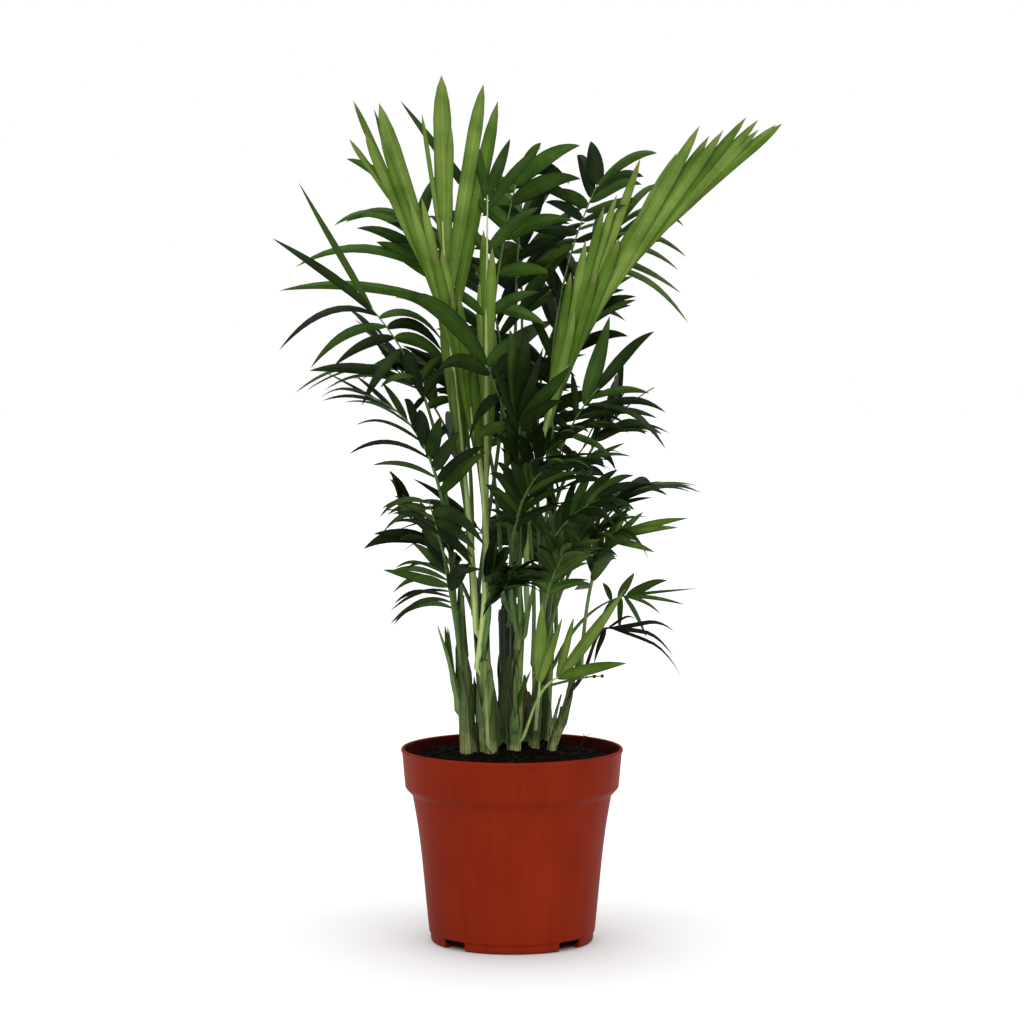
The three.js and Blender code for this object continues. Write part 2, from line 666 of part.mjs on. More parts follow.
// ---------------------------------------------------------------- the plant
const group = new THREE.Group();
group.add(meshOf('pot', pot, COLOURS.pot, 0.5));
group.add(meshOf('soil', soil, COLOURS.soil, 0.95));
for (const cane of CANES) {
  group.add(meshOf(cane.name, cane.solid, COLOURS.cane, 0.6));
}
for (const { row, solids } of fronds) {
  const whole = largest(wasm.Manifold.union(solids));
  group.add(meshOf(row.name, whole, COLOURS[row.tone], 0.5));
}

export default group;
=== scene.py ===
# The looks of a parlour palm in its nursery pot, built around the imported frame.
# The plant grows in millimetres by the rule of the part's source: its ribs stand where the frame
# has them and carry finer leaflets by the same rule. All is then drawn in full, joined by kind.

import json
import math

import bpy
import numpy as np
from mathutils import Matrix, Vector, noise
from mathutils.bvhtree import BVHTree

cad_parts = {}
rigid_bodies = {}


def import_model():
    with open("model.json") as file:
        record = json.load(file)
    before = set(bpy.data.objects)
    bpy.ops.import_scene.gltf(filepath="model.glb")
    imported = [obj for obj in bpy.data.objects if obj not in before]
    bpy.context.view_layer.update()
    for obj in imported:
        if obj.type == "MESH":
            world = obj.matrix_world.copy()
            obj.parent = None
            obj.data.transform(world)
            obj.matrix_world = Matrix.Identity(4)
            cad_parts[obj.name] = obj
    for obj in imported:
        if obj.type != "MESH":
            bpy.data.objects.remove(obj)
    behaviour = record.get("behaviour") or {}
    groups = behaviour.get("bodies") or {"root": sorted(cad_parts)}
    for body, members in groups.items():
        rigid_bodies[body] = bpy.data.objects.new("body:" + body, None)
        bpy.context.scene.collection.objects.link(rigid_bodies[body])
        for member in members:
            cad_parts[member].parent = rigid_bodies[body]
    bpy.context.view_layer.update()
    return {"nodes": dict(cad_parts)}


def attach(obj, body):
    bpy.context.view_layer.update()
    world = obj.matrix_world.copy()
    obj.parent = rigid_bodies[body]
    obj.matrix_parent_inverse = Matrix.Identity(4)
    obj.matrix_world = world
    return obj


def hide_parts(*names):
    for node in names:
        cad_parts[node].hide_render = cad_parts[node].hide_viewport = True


for left_over in list(bpy.data.objects):
    bpy.data.objects.remove(left_over)

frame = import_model()

MM = 0.001
ACROSS, AWAY, UP = np.eye(3)
TURN = 2 * math.pi

# ---------------- pot and soil, as in the source
RIM_RADIUS = 60.0
POT_HEIGHT = 105.0
BAND_HEIGHT = 21.4
BAND_FOOT_RADIUS = 57.7
NECK_RADIUS = 53.8
SHOULDER_RADIUS = 51.2
SHOULDER_HEIGHT = 65.0
WAIST_RADIUS = 49.0
WAIST_HEIGHT = 48.0
HEEL_RADIUS = 44.9
FOOT_RADIUS = 44.1
FOOT_HEIGHT = 4.7
WALL = 1.3
LIP = 0.7
FLOOR = 1.8
NOTCHES = 4
NOTCH_WIDTH = 15.5
NOTCH_HEIGHT = 5.4
NOTCH_CORNER = 1.2
NOTCH_REACH_IN = 36.0
GAP = 0.3
SOIL_EDGE = 98.0
SOIL_CROWN = 7.5
SOIL_LUMP = 0.8
SOIL_RIPPLES = (0.31, 0.27, 0.13, 0.19)
SEAT = 1.8


# ---------------- canes, as in the source
def cane_row(name, foot, head, top, wide, thin):
    """A cane from its foot to its head, its top's height, and its radius at foot and top."""
    return dict(name=name, foot=foot, head=head, top=top, wide=wide, thin=thin)


CANES = [
    cane_row("cane_left", (-22.6, -5), (-28, -6), 188, 4.6, 1.8),
    cane_row("cane_young", (-12.2, -16), (-15.4, -13), 174, 4.0, 2.7),
    cane_row("cane_centre", (-3.9, 2), (-4, 1), 180, 3.6, 3.2),
    cane_row("cane_front", (1.3, -13), (4.6, -12), 184, 4.2, 2.6),
    cane_row("cane_husk", (5.8, 7), (6.6, 9), 134, 4.2, 2.6),
    cane_row("cane_right", (12, -9), (14, -10), 164, 3.1, 2.1),
    cane_row("cane_slim", (17.9, 7), (21.4, 8), 166, 2.5, 1.7),
    cane_row("cane_leaning", (20.4, -6), (36, -10), 154, 2.2, 1.4),
    cane_row("cane_back_left", (-14, 14), (-19, 22), 186, 3.9, 2.4),
    cane_row("cane_back", (-2, 23), (-1, 32), 192, 4.1, 2.6),
    cane_row("cane_back_right", (14, 21), (20, 30), 182, 3.6, 2.3),
]
CANE_SIDES = 8
CANE_RINGS = 5
CANE_TAPER = 0.7
CANE_SWELL = 0.06


# ---------------- fronds, as in the source
FROND = dict(
    lean=8, nod=40, bare=0.52, pairs=6, leaf=74, wide=8.5, open=64, close=20, droop=0.36, roll=0,
    lift=8, hook=0.06, stalk=1.3, buds=0, tone="dark",
)


def frond(name, cane, foot, tip, *sizes, **others):
    """A frond from a height on its cane to its tip, with as many sizes of FROND as differ."""
    sizes = dict(zip(FROND, sizes))
    return {**FROND, **sizes, "name": name, "cane": cane, "foot": foot, "tip": tip, **others}


FRONDS = [
    frond("frond_spear_middle", 1, 170, (-37, -9, 388), 2, 88, 0.95, 1, 97, 11, 20, 1, 0, -80,
          lift=0, hook=0.02, stalk=2, tone="fresh"),
    frond("frond_spear_left", 1, 150, (-60, -17, 402), -9, 67, 0.6, 6, 70, 7, 4, 8, 0, -74, lift=0,
          hook=0.02, stalk=2, tone="fresh"),
    frond("frond_spear_right", 1, 160, (-13, -3, 402), 2, 86, 0.76, 2, 78, 8, 6, 5, 0, lift=0,
          hook=0, stalk=1.8, tone="fresh"),
    frond("frond_fan", 3, 180, (105, -4, 412), -4, 40, 0.52, 8, 78, 7.5, 14, 7, 0.01, 72, lift=0,
          hook=0, stalk=1.8, tone="fresh"),
    frond("frond_high_left", 0, 184, (-75, -12, 342), 4, 48, 0.56, 5, 80, 7, 70, 16, 0.36, -62,
          lift=4, hook=0.1),
    frond("frond_mid_left", 0, 172, (-78, -32, 297), 8, 16, 0.46, 6, 44, 6, 62, 24, 0.3, 34,
          lift=0, hook=0.1),
    frond("frond_far_left", 8, 184, (-61, 40, 404), -2, 62, 0.52, 6, 76, 8.5, 74, 34, 0.5, -44,
          lift=6, hook=0.1, tone="mid"),
    frond("frond_low_left", 0, 150, (-36, -23, 207), 8, 72, 0.5, 4, 54, 5, 86, 66, 0.4, -10),
    frond("frond_lower_left", 0, 164, (-44, -28, 240), 8, 66, 0.6, 5, 43, 4.5, 82, 50, 0.5, -10),
    frond("frond_high_centre", 8, 180, (3, 22, 412), 0, 76, 0.58, 6, 62, 9, 66, 34, 0.2, 60,
          tone="mid"),
    frond("frond_high_right", 6, 164, (46, 12, 408), 0, 64, 0.54, 6, 56, 9.5, 66, 26, 0.3, 40),
    frond("frond_mid_right", 5, 160, (46, -22, 300), 0, 46, 0.68, 5, 70, 6.5, 76, 28, 0.3, 50),
    frond("frond_centre", 5, 152, (-14, -30, 314), 2, 68, 0.56, 5, 66, 10.5, 72, 50, 0.3, -60),
    frond("frond_inner_right", 3, 168, (46, -40, 242), 12, 22, 0.42, 6, 42, 6, 72, 28, 0.16, 50),
    frond("frond_bright_right", 7, 150, (68, -22, 222), 4, -18, 0.5, 6, 38, 5, 62, 18, 0.16, 30,
          tone="mid"),
    frond("frond_low_right", 6, 150, (62, 2, 187), 24, 12, 0.5, 5, 38, 5.5, 62, 22, 0.3, 40),
    frond("frond_withered", 7, 140, (54, -15, 171), 40, -10, 0.9, 1, 48, 3.2, 12, 18, 0.14, 76,
          lift=0, hook=0.1, tone="dead"),
    frond("frond_seedling_tall", 5, 118, (14.5, -34, 147), 30, 88, 0.7, 1, 50, 7, 14, 4, 0, lift=0,
          hook=0, stalk=1, tone="fresh"),
    frond("frond_seedling_right", 3, 112, (25, -24, 146), 24, 24, 0.84, 1, 70, 7, 24, 18, 0.02, 76,
          lift=0, hook=0, stalk=1, tone="fresh"),
    frond("frond_outer_right", 10, 178, (56, 32, 384), 0, 44, 0.6, 5, 56, 6, 66, 30, 0.6, 40,
          hook=0.1),
    frond("frond_slender", 9, 190, (7, 34, 418), 0, 84, 0.74, 4, 52, 8, 56, 26, 0.4, 30),
    frond("frond_centre_broad", 3, 176, (4, -36, 292), 4, 72, 0.7, 3, 44, 13, 34, 8, 0.06, 10,
          lift=0),
    frond("shoot_left", 0, 126, (-40, -9, 172), 2, 72, pairs=0, stalk=2.2, tone="mid"),
    frond("shoot_centre", 3, 118, (1.5, -21, 147), 6, 80, pairs=0, stalk=1.9, tone="mid"),
    frond("flower_stalk", 5, 139, (48, -28, 147), 76, 4, pairs=0, stalk=0.95, buds=5, tone="mid"),
]
WHORLS = [  # name, a cane for each frond, bearings of the first and last, reach, height, leaf
    ("frond_front", (3, 2, 5), (-76, -30), 56, 280, 56),
    ("frond_front_low", (0, 1, 3, 5, 5), (-150, -26), 44, 206, 44),
    ("frond_back_low", (8, 9, 10, 10), (142, 28), 60, 228, 50),
    ("frond_back_mid", (8, 9, 9, 10, 10), (158, 26), 76, 318, 64),
    ("frond_back_high", (8, 9, 10), (130, 40), 60, 392, 66),
]
WHORL_SCATTER = 14
WHORL_RISE = 1.6
WHORL_BELOW = (4, 13)
WHORL_LEAN = 4
WHORL_NOD = 30
WHORL_SEED = 900
ROUTES = [
    (spin, bow) for spin in (0, 45, -45, 90, -90, 135, -135) for bow in (0, 4, -4, 8, -8, 13, -13)
]
RIB_SIDES = 3
RIB_RINGS = 7
RIB_PULL = 0.36
RIB_TIP_RADIUS = 0.75
LEAF_ROWS = (0, 0.27, 0.66, 1)
LEAF_THICK = 0.012
LEAF_LAST = 0.97
LEAF_SMALLEST = 0.62
LEAF_SPREAD = 0.14
LEAF_TOSS = 10
LEAF_TURN = 24
LEAF_SEED = 1000
SEED_STEP = 61
BUD_RADIUS = 1.7
BUDS_FROM = 0.5
TRIES = [(0, 1), (10, 1), (-10, 1), (20, 0.95), (-20, 0.95), (32, 0.85), (-32, 0.85),
         (14, 0.7), (-14, 0.7)]
TANGENT_STEP = 0.0001

# ---------------- what only the looks have
TWIN_SEED = 5000  # the finer leaflets that stand opposite the source's own
TWIN_WIDE = 0.8
TWIN_ON = 0.22
TWINNED = ("frond_back", "frond_front")
FRONT_WIDE, FRONT_LONG = 0.66, 0.86  # the front whorls' leaflets are finer than the source's
FRONT_SHUT = 0.68  # and stand closer to their rib
DETAIL_SEED = 9000
RUN_SPREADS = (0.18, 0.13, 0.1, 0.3)  # of a leaflet's angle, length, width and droop
RUN_TOSS, RUN_SLACK = 3, 6  # degrees
RUN_WIDE = 1.08
RUN_WIDE_SHARE, RUN_WIDE_MOST = 0.8, 2  # how wide a leaflet is whose row is wider than it shows
RUN_RISE = 0.6  # a run's angles are those of the chord, so a leaflet that droops starts higher
RUN_TRIES = 0.4
SPEAR_TRIES = 0.1
SPEAR_SPREADS = (0.4 * 0.18, 0.4 * 0.13, 0.1, 0.3)
SPEAR_TOSS, SPEAR_SLACK = 0.3, 0.4  # shares of a run's
CAMERA_AWAY = 1895
CAMERA_HEIGHT = 376

# The fronds that face the camera are carried to finer leaflets in runs, each by the same rule
# with its own sizes: side of the rib, shares of the rib, count, then angle off the rib, length,
# width and droop. A pair is what the run's first and last leaflet have.
RUNS = {
    "frond_spear_middle": [
        (-1, 0.84, 1, 3, 117, 9.8, 0),
        (1, 0.9, 1, 5, 80, 2.4, 0),
        (-1, (0.72, 0.8), 2, (16, 14), (138, 119), (7, 7.4), 0),
        (-1, 0.86, 1, 6, 88, 3.6, 0),
        (1, (0.3, 0.62), 4, (2, 3), (80, 86), (6.5, 5), 0),
        (-1, (0.34, 0.6), 3, (3, 2), (80, 92), (6.5, 5.5), 0),
    ],
    "frond_spear_left": [
        (1, (0.8, 0.87), 2, (5, 3.5), (97, 88), (6, 3.4), 0),
        (1, 0.93, 1, 13, 58, 2.8, 0),
        (-1, 0.73, 1, 1, 121, 8.6, 0),
        (1, (0.42, 0.7), 4, (1, 3), (92, 110), (6.5, 4), 0),
        (-1, (0.34, 0.62), 4, (1, 2), (82, 92), (6.5, 5), 0),
    ],
    "frond_spear_right": [
        (1, (0.34, 0.52), 3, (4, 1), (84, 96), 5, 0),
        (-1, (0.36, 0.5), 2, (3, 2), (84, 96), 5, 0),
        (1, (0.96, 0.99), 2, (37, 14), (78, 44), 5, 0),
        (-1, (0.97, 1.0), 2, (38, 22), (48, 33), (6, 6.4), (0.2, 0)),
        (1, (0.74, 0.88), 2, (52, 44), (34, 38), (5.5, 6), (0.4, 0.3)),
        (-1, (0.74, 0.88), 2, (54, 46), (34, 40), (5.5, 6), (0.4, 0.3)),
    ],
    "frond_fan": [
        (-1, (0.52, 0.8), 9, (3, 10), (134, 108), (6, 5), (0, 0.02)),
        (1, (0.36, 0.5), 5, (6, 4), (90, 124), (6, 4.4), (0, 0.03)),
        (-1, (0.3, 0.5), 4, (2, 3), (84, 98), 6.4, 0),
    ],
    "frond_high_left": [
        (-1, (0.63, 0.71), 3, (84, 60), (20, 27), (5.5, 5), (0.3, 0.6)),
        (-1, (0.84, 0.96), 4, (165, 118), (28, 44), (8, 4), (0.5, 0.8)),
        (-1, 0.99, 1, 12, 71, 3.6, 0.06),
        (1, (0.66, 0.74), 2, (95, 70), (14, 24), 3, (0.3, 0.4)),
        (1, (0.84, 0.97), 4, (96, 46), (34, 53), (5.5, 3.6), (0.3, 0.8)),
        (1, (0.98, 1.0), 2, (12, 13), (42, 66), (3, 5), (0.1, 0.12)),
    ],
    "frond_mid_left": [
        (-1, (0.53, 0.84), 5, (56, 24), (44, 46), (3, 2), (0.66, 0.64)),
        (-1, (0.9, 0.96), 2, (9, 4), (30, 28), 2.5, 0.5),
        (1, (0.47, 0.65), 5, (66, 22), (40, 27), (6.5, 7), (0.1, 0.2)),
        (1, (0.71, 0.95), 4, (20, 6), (29, 37), (5, 2), (0.5, 0.1)),
    ],
    "frond_far_left": [
        (1, (0.72, 0.87), 3, (62, 40), (88, 54), (4.4, 5), (0.26, 1.1)),
        (1, (0.78, 0.82), 2, (38, 34), (46, 44), (7.5, 7), (0.3, 0.4)),
        (1, (0.93, 1.0), 2, (52, 24), (38, 34), (5, 4), (0.6, 0.3)),
        (-1, (0.8, 1.0), 3, (60, 10), (30, 48), (6, 4.5), (0.3, 0.1)),
    ],
    "frond_low_left": [
        (-1, (0.56, 0.95), 8, (88, 92), (52, 30), (3, 2.2), (0.55, 0.4)),
        (-1, 0.78, 1, 82, 44, 5, 0),
        (1, (0.74, 0.86), 3, (40, 62), (25, 28), (5.4, 4), (0, 0.2)),
    ],
    "frond_lower_left": [
        (-1, (0.46, 0.64), 3, (46, 40), (28, 20), (5, 7), (0, 0.4)),
        (-1, (0.72, 0.99), 7, (58, 102), (34, 44), 2.7, (0.35, 0.6)),
        (1, (0.74, 0.92), 4, (106, 88), (26, 38), (4.5, 7), (0.3, 0.6)),
    ],
    "frond_high_centre": [
        (-1, (0.7, 0.94), 4, (86, 52), (34, 44), (6, 8.4), 0.3),
        (-1, (0.98, 1.0), 2, (44, 15), (43, 28), (8, 5), 0.3),
        (1, (0.74, 0.97), 4, (66, 70), (33, 26), (6, 8), (0.4, 0.2)),
    ],
    "frond_slender": [
        (-1, (0.72, 0.99), 5, (64, 84), (33, 38), 6.4, (0.2, 0.7)),
        (1, (0.74, 0.96), 4, (130, 84), (32, 27), (6.4, 6), (0.4, 0.6)),
    ],
    "frond_high_right": [
        (-1, (0.5, 0.56), 2, (28, 8), (34, 42), (5.4, 4), (0.4, 0.3)),
        (-1, (0.74, 0.9), 7, (68, 72), (18, 24), (2.6, 3.4), (0.1, 0.2)),
        (-1, (0.92, 1.0), 5, (62, 38), (36, 40), (5, 4), (0.1, 0.6)),
        (1, (0.5, 0.6), 2, (8, 30), (36, 30), 4.5, 0.2),
        (1, (0.86, 0.95), 4, (104, 92), (28, 34), (5.5, 7), (0.3, 0.2)),
        (1, (0.97, 1.0), 2, (52, 34), (37, 27), (6, 9), (0.3, 0)),
    ],
    "frond_outer_right": [
        (-1, (0.88, 0.95), 3, (94, 66), (76, 60), (3, 4), 0.35),
        (-1, (0.97, 1.0), 2, (50, 30), (50, 44), (2.4, 2.2), (0.6, 0.9)),
        (1, (0.84, 1.0), 3, (60, 14), (34, 42), (5, 4), (0.3, 0.4)),
    ],
    "frond_centre": [
        (-1, 0.99, 1, 81, 98, 9.7, 0.03),
        (1, 0.99, 1, 43, 103, 9.2, 0.5),
        (-1, (0.72, 0.95), 4, (116, 84), (32, 60), (5, 7), (0.1, 0.2)),
        (1, (0.72, 0.96), 4, (104, 66), (24, 52), (5, 7), (0.1, 0.4)),
    ],
    "frond_mid_right": [
        (-1, (0.8, 0.92), 5, (70, 54), (44, 80), (3.4, 3), (0.05, 0.3)),
        (-1, 0.95, 1, 50, 46, 3.2, 0.3),
        (1, (0.74, 0.86), 3, (92, 70), (30, 34), (5, 4), (0.1, 0.2)),
        (1, 0.92, 1, 31, 46, 8.4, 0),
        (1, 0.99, 1, 6, 44, 5.6, 0.14),
    ],
    "frond_centre_broad": [
        (-1, (0.84, 0.95), 3, (42, 6), (20, 56), (4.5, 7.6), (0.3, 0)),
        (1, (0.9, 0.95), 4, (50, 3), (32, 55), (6.5, 7.5), (0.2, 0)),
        (1, (0.3, 0.5), 2, (2, 6), (57, 44), (5.4, 5), 0),
        (-1, (0.4, 0.7), 2, (30, 16), (34, 40), 5, 0.2),
    ],
    "frond_inner_right": [
        (-1, (0.7, 0.98), 6, (62, 24), (34, 30), (5, 2.5), (0.2, 0.5)),
        (1, (0.6, 0.97), 7, (84, 6), (36, 31), 5, (0, 0.3)),
    ],
    "frond_bright_right": [
        (-1, (0.46, 0.76), 6, (46, 62), (42, 46), (5.4, 5), (0.3, 0.5)),
        (-1, (0.75, 0.82), 5, (52, 26), 56, (3.4, 3.8), 0.1),
        (1, (0.44, 0.8), 7, (92, 32), (46, 20), (3.6, 3), (0, 0.1)),
    ],
    "frond_low_right": [
        (-1, (0.87, 0.98), 3, (112, 62), (18, 30), (3.4, 2.6), (0.3, 0.4)),
        (-1, (0.98, 1.0), 3, (36, 8), (27, 37), (1.7, 1.5), (0.3, 0.06)),
        (1, (0.84, 1.0), 3, (112, 22), (18, 27), (3.4, 4.4), (0.2, 0)),
    ],
    "frond_seedling_right": [
        (-1, 0.97, 1, 10, 50, 5.4, 0.1),
        (1, (0.97, 1.0), 2, (52, 28), (36, 56), (4.6, 6.2), 0),
    ],
    "frond_seedling_tall": [
        (1, (0.9, 0.93), 2, (14, 1), (40, 47), (4.4, 6.2), 0),
    ],
    "frond_withered": [
        (1, 0.95, 1, 9, 47, 2.5, -0.08),
        (-1, (0.93, 0.96), 2, (7, 11), (45, 42), (2.4, 1.9), (0.08, 0.12)),
        (1, 0.92, 1, 24, 18, 1.6, 0.1),
        (-1, 0.86, 1, 112, 17, 3.2, 0),
    ],
    "shoot_left": [
        (-1, (0.1, 0.24), 2, (16, 6), (46, 36), (3.2, 2.6), 0),
        (1, 0.06, 1, 5, 44, 3, 0),
    ],
    "shoot_centre": [
        (-1, 0.1, 1, 12, 30, 2.8, 0),
        (1, 0.2, 1, 16, 28, 2.8, 0),
    ],
}
SPEARS = ("frond_spear_middle", "frond_spear_left", "frond_spear_right", "frond_fan")

# Where the photo shows sky or bare stalks between the leaves: middle and half size in the
# picture's plane, across and up, in millimetres. Leaflets that would close one are left out.
OPENINGS = [
    (-57, 382, 4.3, 4.3), (-53, 354, 10.7, 7.1), (-53, 365, 4.3, 2.2), (-47, 399, 3.8, 3.8),
    (-25, 401, 1.6, 4.3), (-12, 386, 5.4, 5.4), (-13, 370, 5.4, 2.7), (-5, 366, 3.2, 4.9),
    (18, 399, 3.2, 3.3), (32, 403, 4.3, 4.3), (45, 399, 4.8, 2.7), (41, 373, 6.4, 4.9),
    (-13, 340, 2.7, 14.7), (-6, 340, 3.2, 9.8), (1, 350, 3.8, 4.3), (7, 361, 3.2, 6.5),
    (7, 350, 3.2, 3.3), (15, 327, 5.9, 12.5), (-8, 316, 2.7, 6.5), (-6, 306, 2.7, 3.8),
    (-8, 287, 2.7, 4.9), (39, 311, 5.9, 13), (54, 319, 3.8, 10.9), (-40, 322, 6.4, 10.9),
    (-41, 288, 8, 8.7), (-37, 259, 3.8, 8.1), (-25, 254, 4.3, 4.3), (-25, 239, 4.3, 4.9),
    (-13, 261, 2.1, 4.9), (-13, 250, 2.7, 3.8), (7, 279, 3.2, 2.7), (10, 171, 1.6, 4.9),
    (42, 202, 3.2, 6.5), (54, 206, 4.8, 3.8), (-97, 357, 7, 10.9), (-113, 340, 15, 6.5),
    (-107, 319, 9.1, 2.7), (-84, 319, 16.1, 7.6), (-52, 294, 10.7, 4.3), (-105, 286, 11.8, 3.3),
    (-82, 267, 5.4, 3.3), (-78, 244, 15, 13), (82, 306, 25, 12), (69, 293, 9.7, 7.6),
    (39, 270, 11.8, 5.4), (80, 258, 23, 8), (78, 285, 18, 5), (84, 216, 14, 7.6),
    (74, 181, 14, 3.8), (-11, 171, 2.1, 7.1), (-23, 163, 1.6, 13.6), (-19, 228, 6, 66),
    (120, 300, 24, 44), (-92, 228, 15, 9), (-66, 268, 9, 9), (-84, 205, 12, 10), (-33, 176, 4, 14),
    (44, 172, 12, 8),
]


# ---------------- numbers and vectors
def stream(seed):
    state = [seed]

    def draw():
        state[0] = (state[0] * 1664525 + 1013904223) & 0xFFFFFFFF
        return state[0] / 4294967296

    return draw


def mix(a, b, share):
    return a + (b - a) * share


def either(random, spread):
    """A draw from minus spread to spread."""
    return spread * (2 * random() - 1)


def one_of(kinds, random):
    return kinds[int(random() * len(kinds)) % len(kinds)]


def smooth(share):
    share = min(1.0, max(0.0, share))
    return share * share * (3 - 2 * share)


def cross(a, b):
    return np.array([
        a[1] * b[2] - a[2] * b[1],
        a[2] * b[0] - a[0] * b[2],
        a[0] * b[1] - a[1] * b[0],
    ])


def unit(v):
    return v / math.sqrt(v @ v)


def turned(v, axis, angle):
    c, s = math.cos(angle), math.sin(angle)
    return v * c + cross(axis, v) * s + axis * ((axis @ v) * (1 - c))


def bezier(ends, t):
    a, b, c, d = ends
    k = 1 - t
    return a * (k * k * k) + b * (3 * k * k * t) + c * (3 * k * t * t) + d * (t * t * t)


def around(sides):
    """Each side's number, the next one's, and its angle."""
    return [(i, (i + 1) % sides, i / sides * TURN) for i in range(sides)]


# ---------------- what later growth keeps clear of
kept_owner, kept_tree, kept_low, kept_high = [], [], [], []


def keep(owner, points, faces):
    kept_owner.append(owner)
    kept_tree.append(BVHTree.FromPolygons(points.tolist(), faces))
    kept_low.append(points.min(0))
    kept_high.append(points.max(0))


def clears(owners, points, faces):
    close = (np.array(kept_low) < points.max(0)) & (np.array(kept_high) > points.min(0))
    tree = BVHTree.FromPolygons(points.tolist(), faces)
    return not any(kept_owner[i] not in owners and tree.overlap(kept_tree[i])
                   for i in np.nonzero(close.all(1))[0])


def capped_faces(rings, sides):
    """Triangles round a stack of rings, and from its two ends to the two points that follow."""
    faces = []
    first, last = (rings + 1) * sides, rings * sides
    for i, j, _ in around(sides):
        for row in range(0, last, sides):
            faces += [(row + i, row + sides + i, row + j),
                      (row + sides + i, row + sides + j, row + j)]
        faces += [(first, i, j), (first + 1, last + j, last + i)]
    return faces


CANE_FACES = capped_faces(CANE_RINGS, CANE_SIDES)
RIB_FACES = capped_faces(RIB_RINGS, RIB_SIDES)
SPACE_FACES = capped_faces(3, 5)
LEAF_FACES = [
    (0, 1, 2), (0, 2, 3), (0, 3, 1),
    (2, 1, 5), (1, 4, 5), (3, 2, 6), (2, 5, 6), (1, 3, 4), (3, 6, 4),
    (7, 5, 4), (7, 6, 5), (7, 4, 6),
]


# ---------------- canes
def soil_height(x, y):
    share = min(1.0, math.hypot(x, y) / RIM_RADIUS)
    a, b, c, d = SOIL_RIPPLES
    lumps = math.sin(x * a + 1.3) * math.cos(y * b - 0.4) + math.sin(x * c - y * d)
    crown = SOIL_CROWN * (1 - share * share) ** 2
    return SOIL_EDGE + crown + SOIL_LUMP * lumps * (1 - share ** 4)


def cane_at(cane, height):
    share = (height - cane["base"]) / (cane["top"] - cane["base"])
    swell = 1 + CANE_SWELL * math.sin(math.pi * share)
    radius = mix(cane["wide"], cane["thin"], max(0.0, share) ** CANE_TAPER) * swell
    foot, head = cane["foot"], cane["head"]
    return np.array([mix(foot[0], head[0], share), mix(foot[1], head[1], share), height]), radius


def cane_solid(cane):
    points = []
    for row in range(CANE_RINGS + 1):
        middle, radius = cane_at(cane, mix(cane["top"], cane["base"], row / CANE_RINGS))
        points += [middle + (math.sin(angle) * radius, math.cos(angle) * radius, 0)
                   for _, _, angle in around(CANE_SIDES)]
    return np.array(points + [cane_at(cane, cane[end])[0] for end in ("top", "base")])


# ---------------- ribs
class Rib:
    def __init__(self, row, spin, bow):
        middle, radius = cane_at(CANES[row["cane"]], row["foot"])
        end = np.array(row["tip"], float)
        outward = unit((end - middle) * (1, 1, 0))
        beside = turned(outward, UP, math.radians(spin))
        start = middle + beside * (radius + row["seat"])
        pull = math.dist(start, end) * RIB_PULL

        def slant(angle):
            angle = math.radians(angle)
            return outward * math.sin(angle) + UP * math.cos(angle)

        self.level = np.array([-outward[1], outward[0], 0.0])
        side = self.level * bow
        self.ends = (
            start,
            start + slant(row["lean"]) * pull + side,
            end - slant(90 - row["nod"]) * pull + side,
            end,
        )
        self.row = row

    def place(self, share):
        return bezier(self.ends, share)

    def at(self, share):
        """The rib's point, its three directions there, and the source's radius."""
        low, high = max(0.0, share - TANGENT_STEP), min(1.0, share + TANGENT_STEP)
        along = unit(self.place(high) - self.place(low))
        side = unit(self.level - along * (self.level @ along))
        roll = math.radians(self.row["roll"]) * min(1.0, share / self.row["bare"])
        side = turned(side, along, roll)
        radius = mix(self.row["stalk"], RIB_TIP_RADIUS, share)
        return self.place(share), along, side, cross(along, side), radius


def rib_solid(rib, grow):
    points = []
    for row in range(RIB_RINGS + 1):
        point, _, side, face, radius = rib.at(1 - row / RIB_RINGS)
        reach = radius + grow
        points += [point + side * (math.sin(angle) * reach) + face * (math.cos(angle) * reach)
                   for _, _, angle in around(RIB_SIDES)]
    return np.array(points + [rib.place(1.0), rib.place(0.0)])


# ---------------- leaflets
WIDEST = (0.5 / 1.3) ** 0.5 * (0.8 / 1.3) ** 0.8


def leaflet_shape(share):
    return math.sqrt(share) * (1 - share) ** 0.8 / WIDEST


def leaflet_at(leaf, share):
    bend = leaf["forward"] * leaf["hook"] - UP * leaf["droop"]
    length = leaf["length"]
    point = leaf["root"] + leaf["heading"] * (length * share) + bend * (length * share * share)
    along = unit(leaf["heading"] + bend * (2 * share))
    across = unit(cross(leaf["face"], along))
    return point, across, cross(along, across), leaf["wide"] / 2 * leaflet_shape(share)


def leaflet_solid(leaf):
    deep = leaf["length"] * LEAF_THICK
    points = [leaflet_at(leaf, 0.0)[0]]
    for share in LEAF_ROWS[1:3]:
        point, across, normal, half = leaflet_at(leaf, share)
        points += [point - normal * deep, point + across * half, point - across * half]
    points.append(leaflet_at(leaf, 1.0)[0])
    return np.array(points)


def leaflet_space(leaf):
    """The room that one of the source's leaflets needs, with a gap on every side."""
    deep = leaf["length"] * LEAF_THICK + GAP
    points, ends = [], []
    for share in LEAF_ROWS:
        point, across, normal, half = leaflet_at(leaf, share)
        wide = half + GAP
        for reach, rise in ((wide, GAP), (-wide, GAP), (-wide, -GAP), (0, -deep), (wide, -GAP)):
            points.append(point + across * reach + normal * rise)
        ends.append(point)
    return np.array(points + [ends[0], ends[-1]])


def least_turn(face, heading, off):
    """The least turn about its length after which a leaflet stands off the camera by off."""
    toward = math.atan2(cross(heading, face)[1], face[1])
    return min((toward + half * math.pi + way * off for half in (-1, 0, 1) for way in (-1, 1)),
               key=abs)


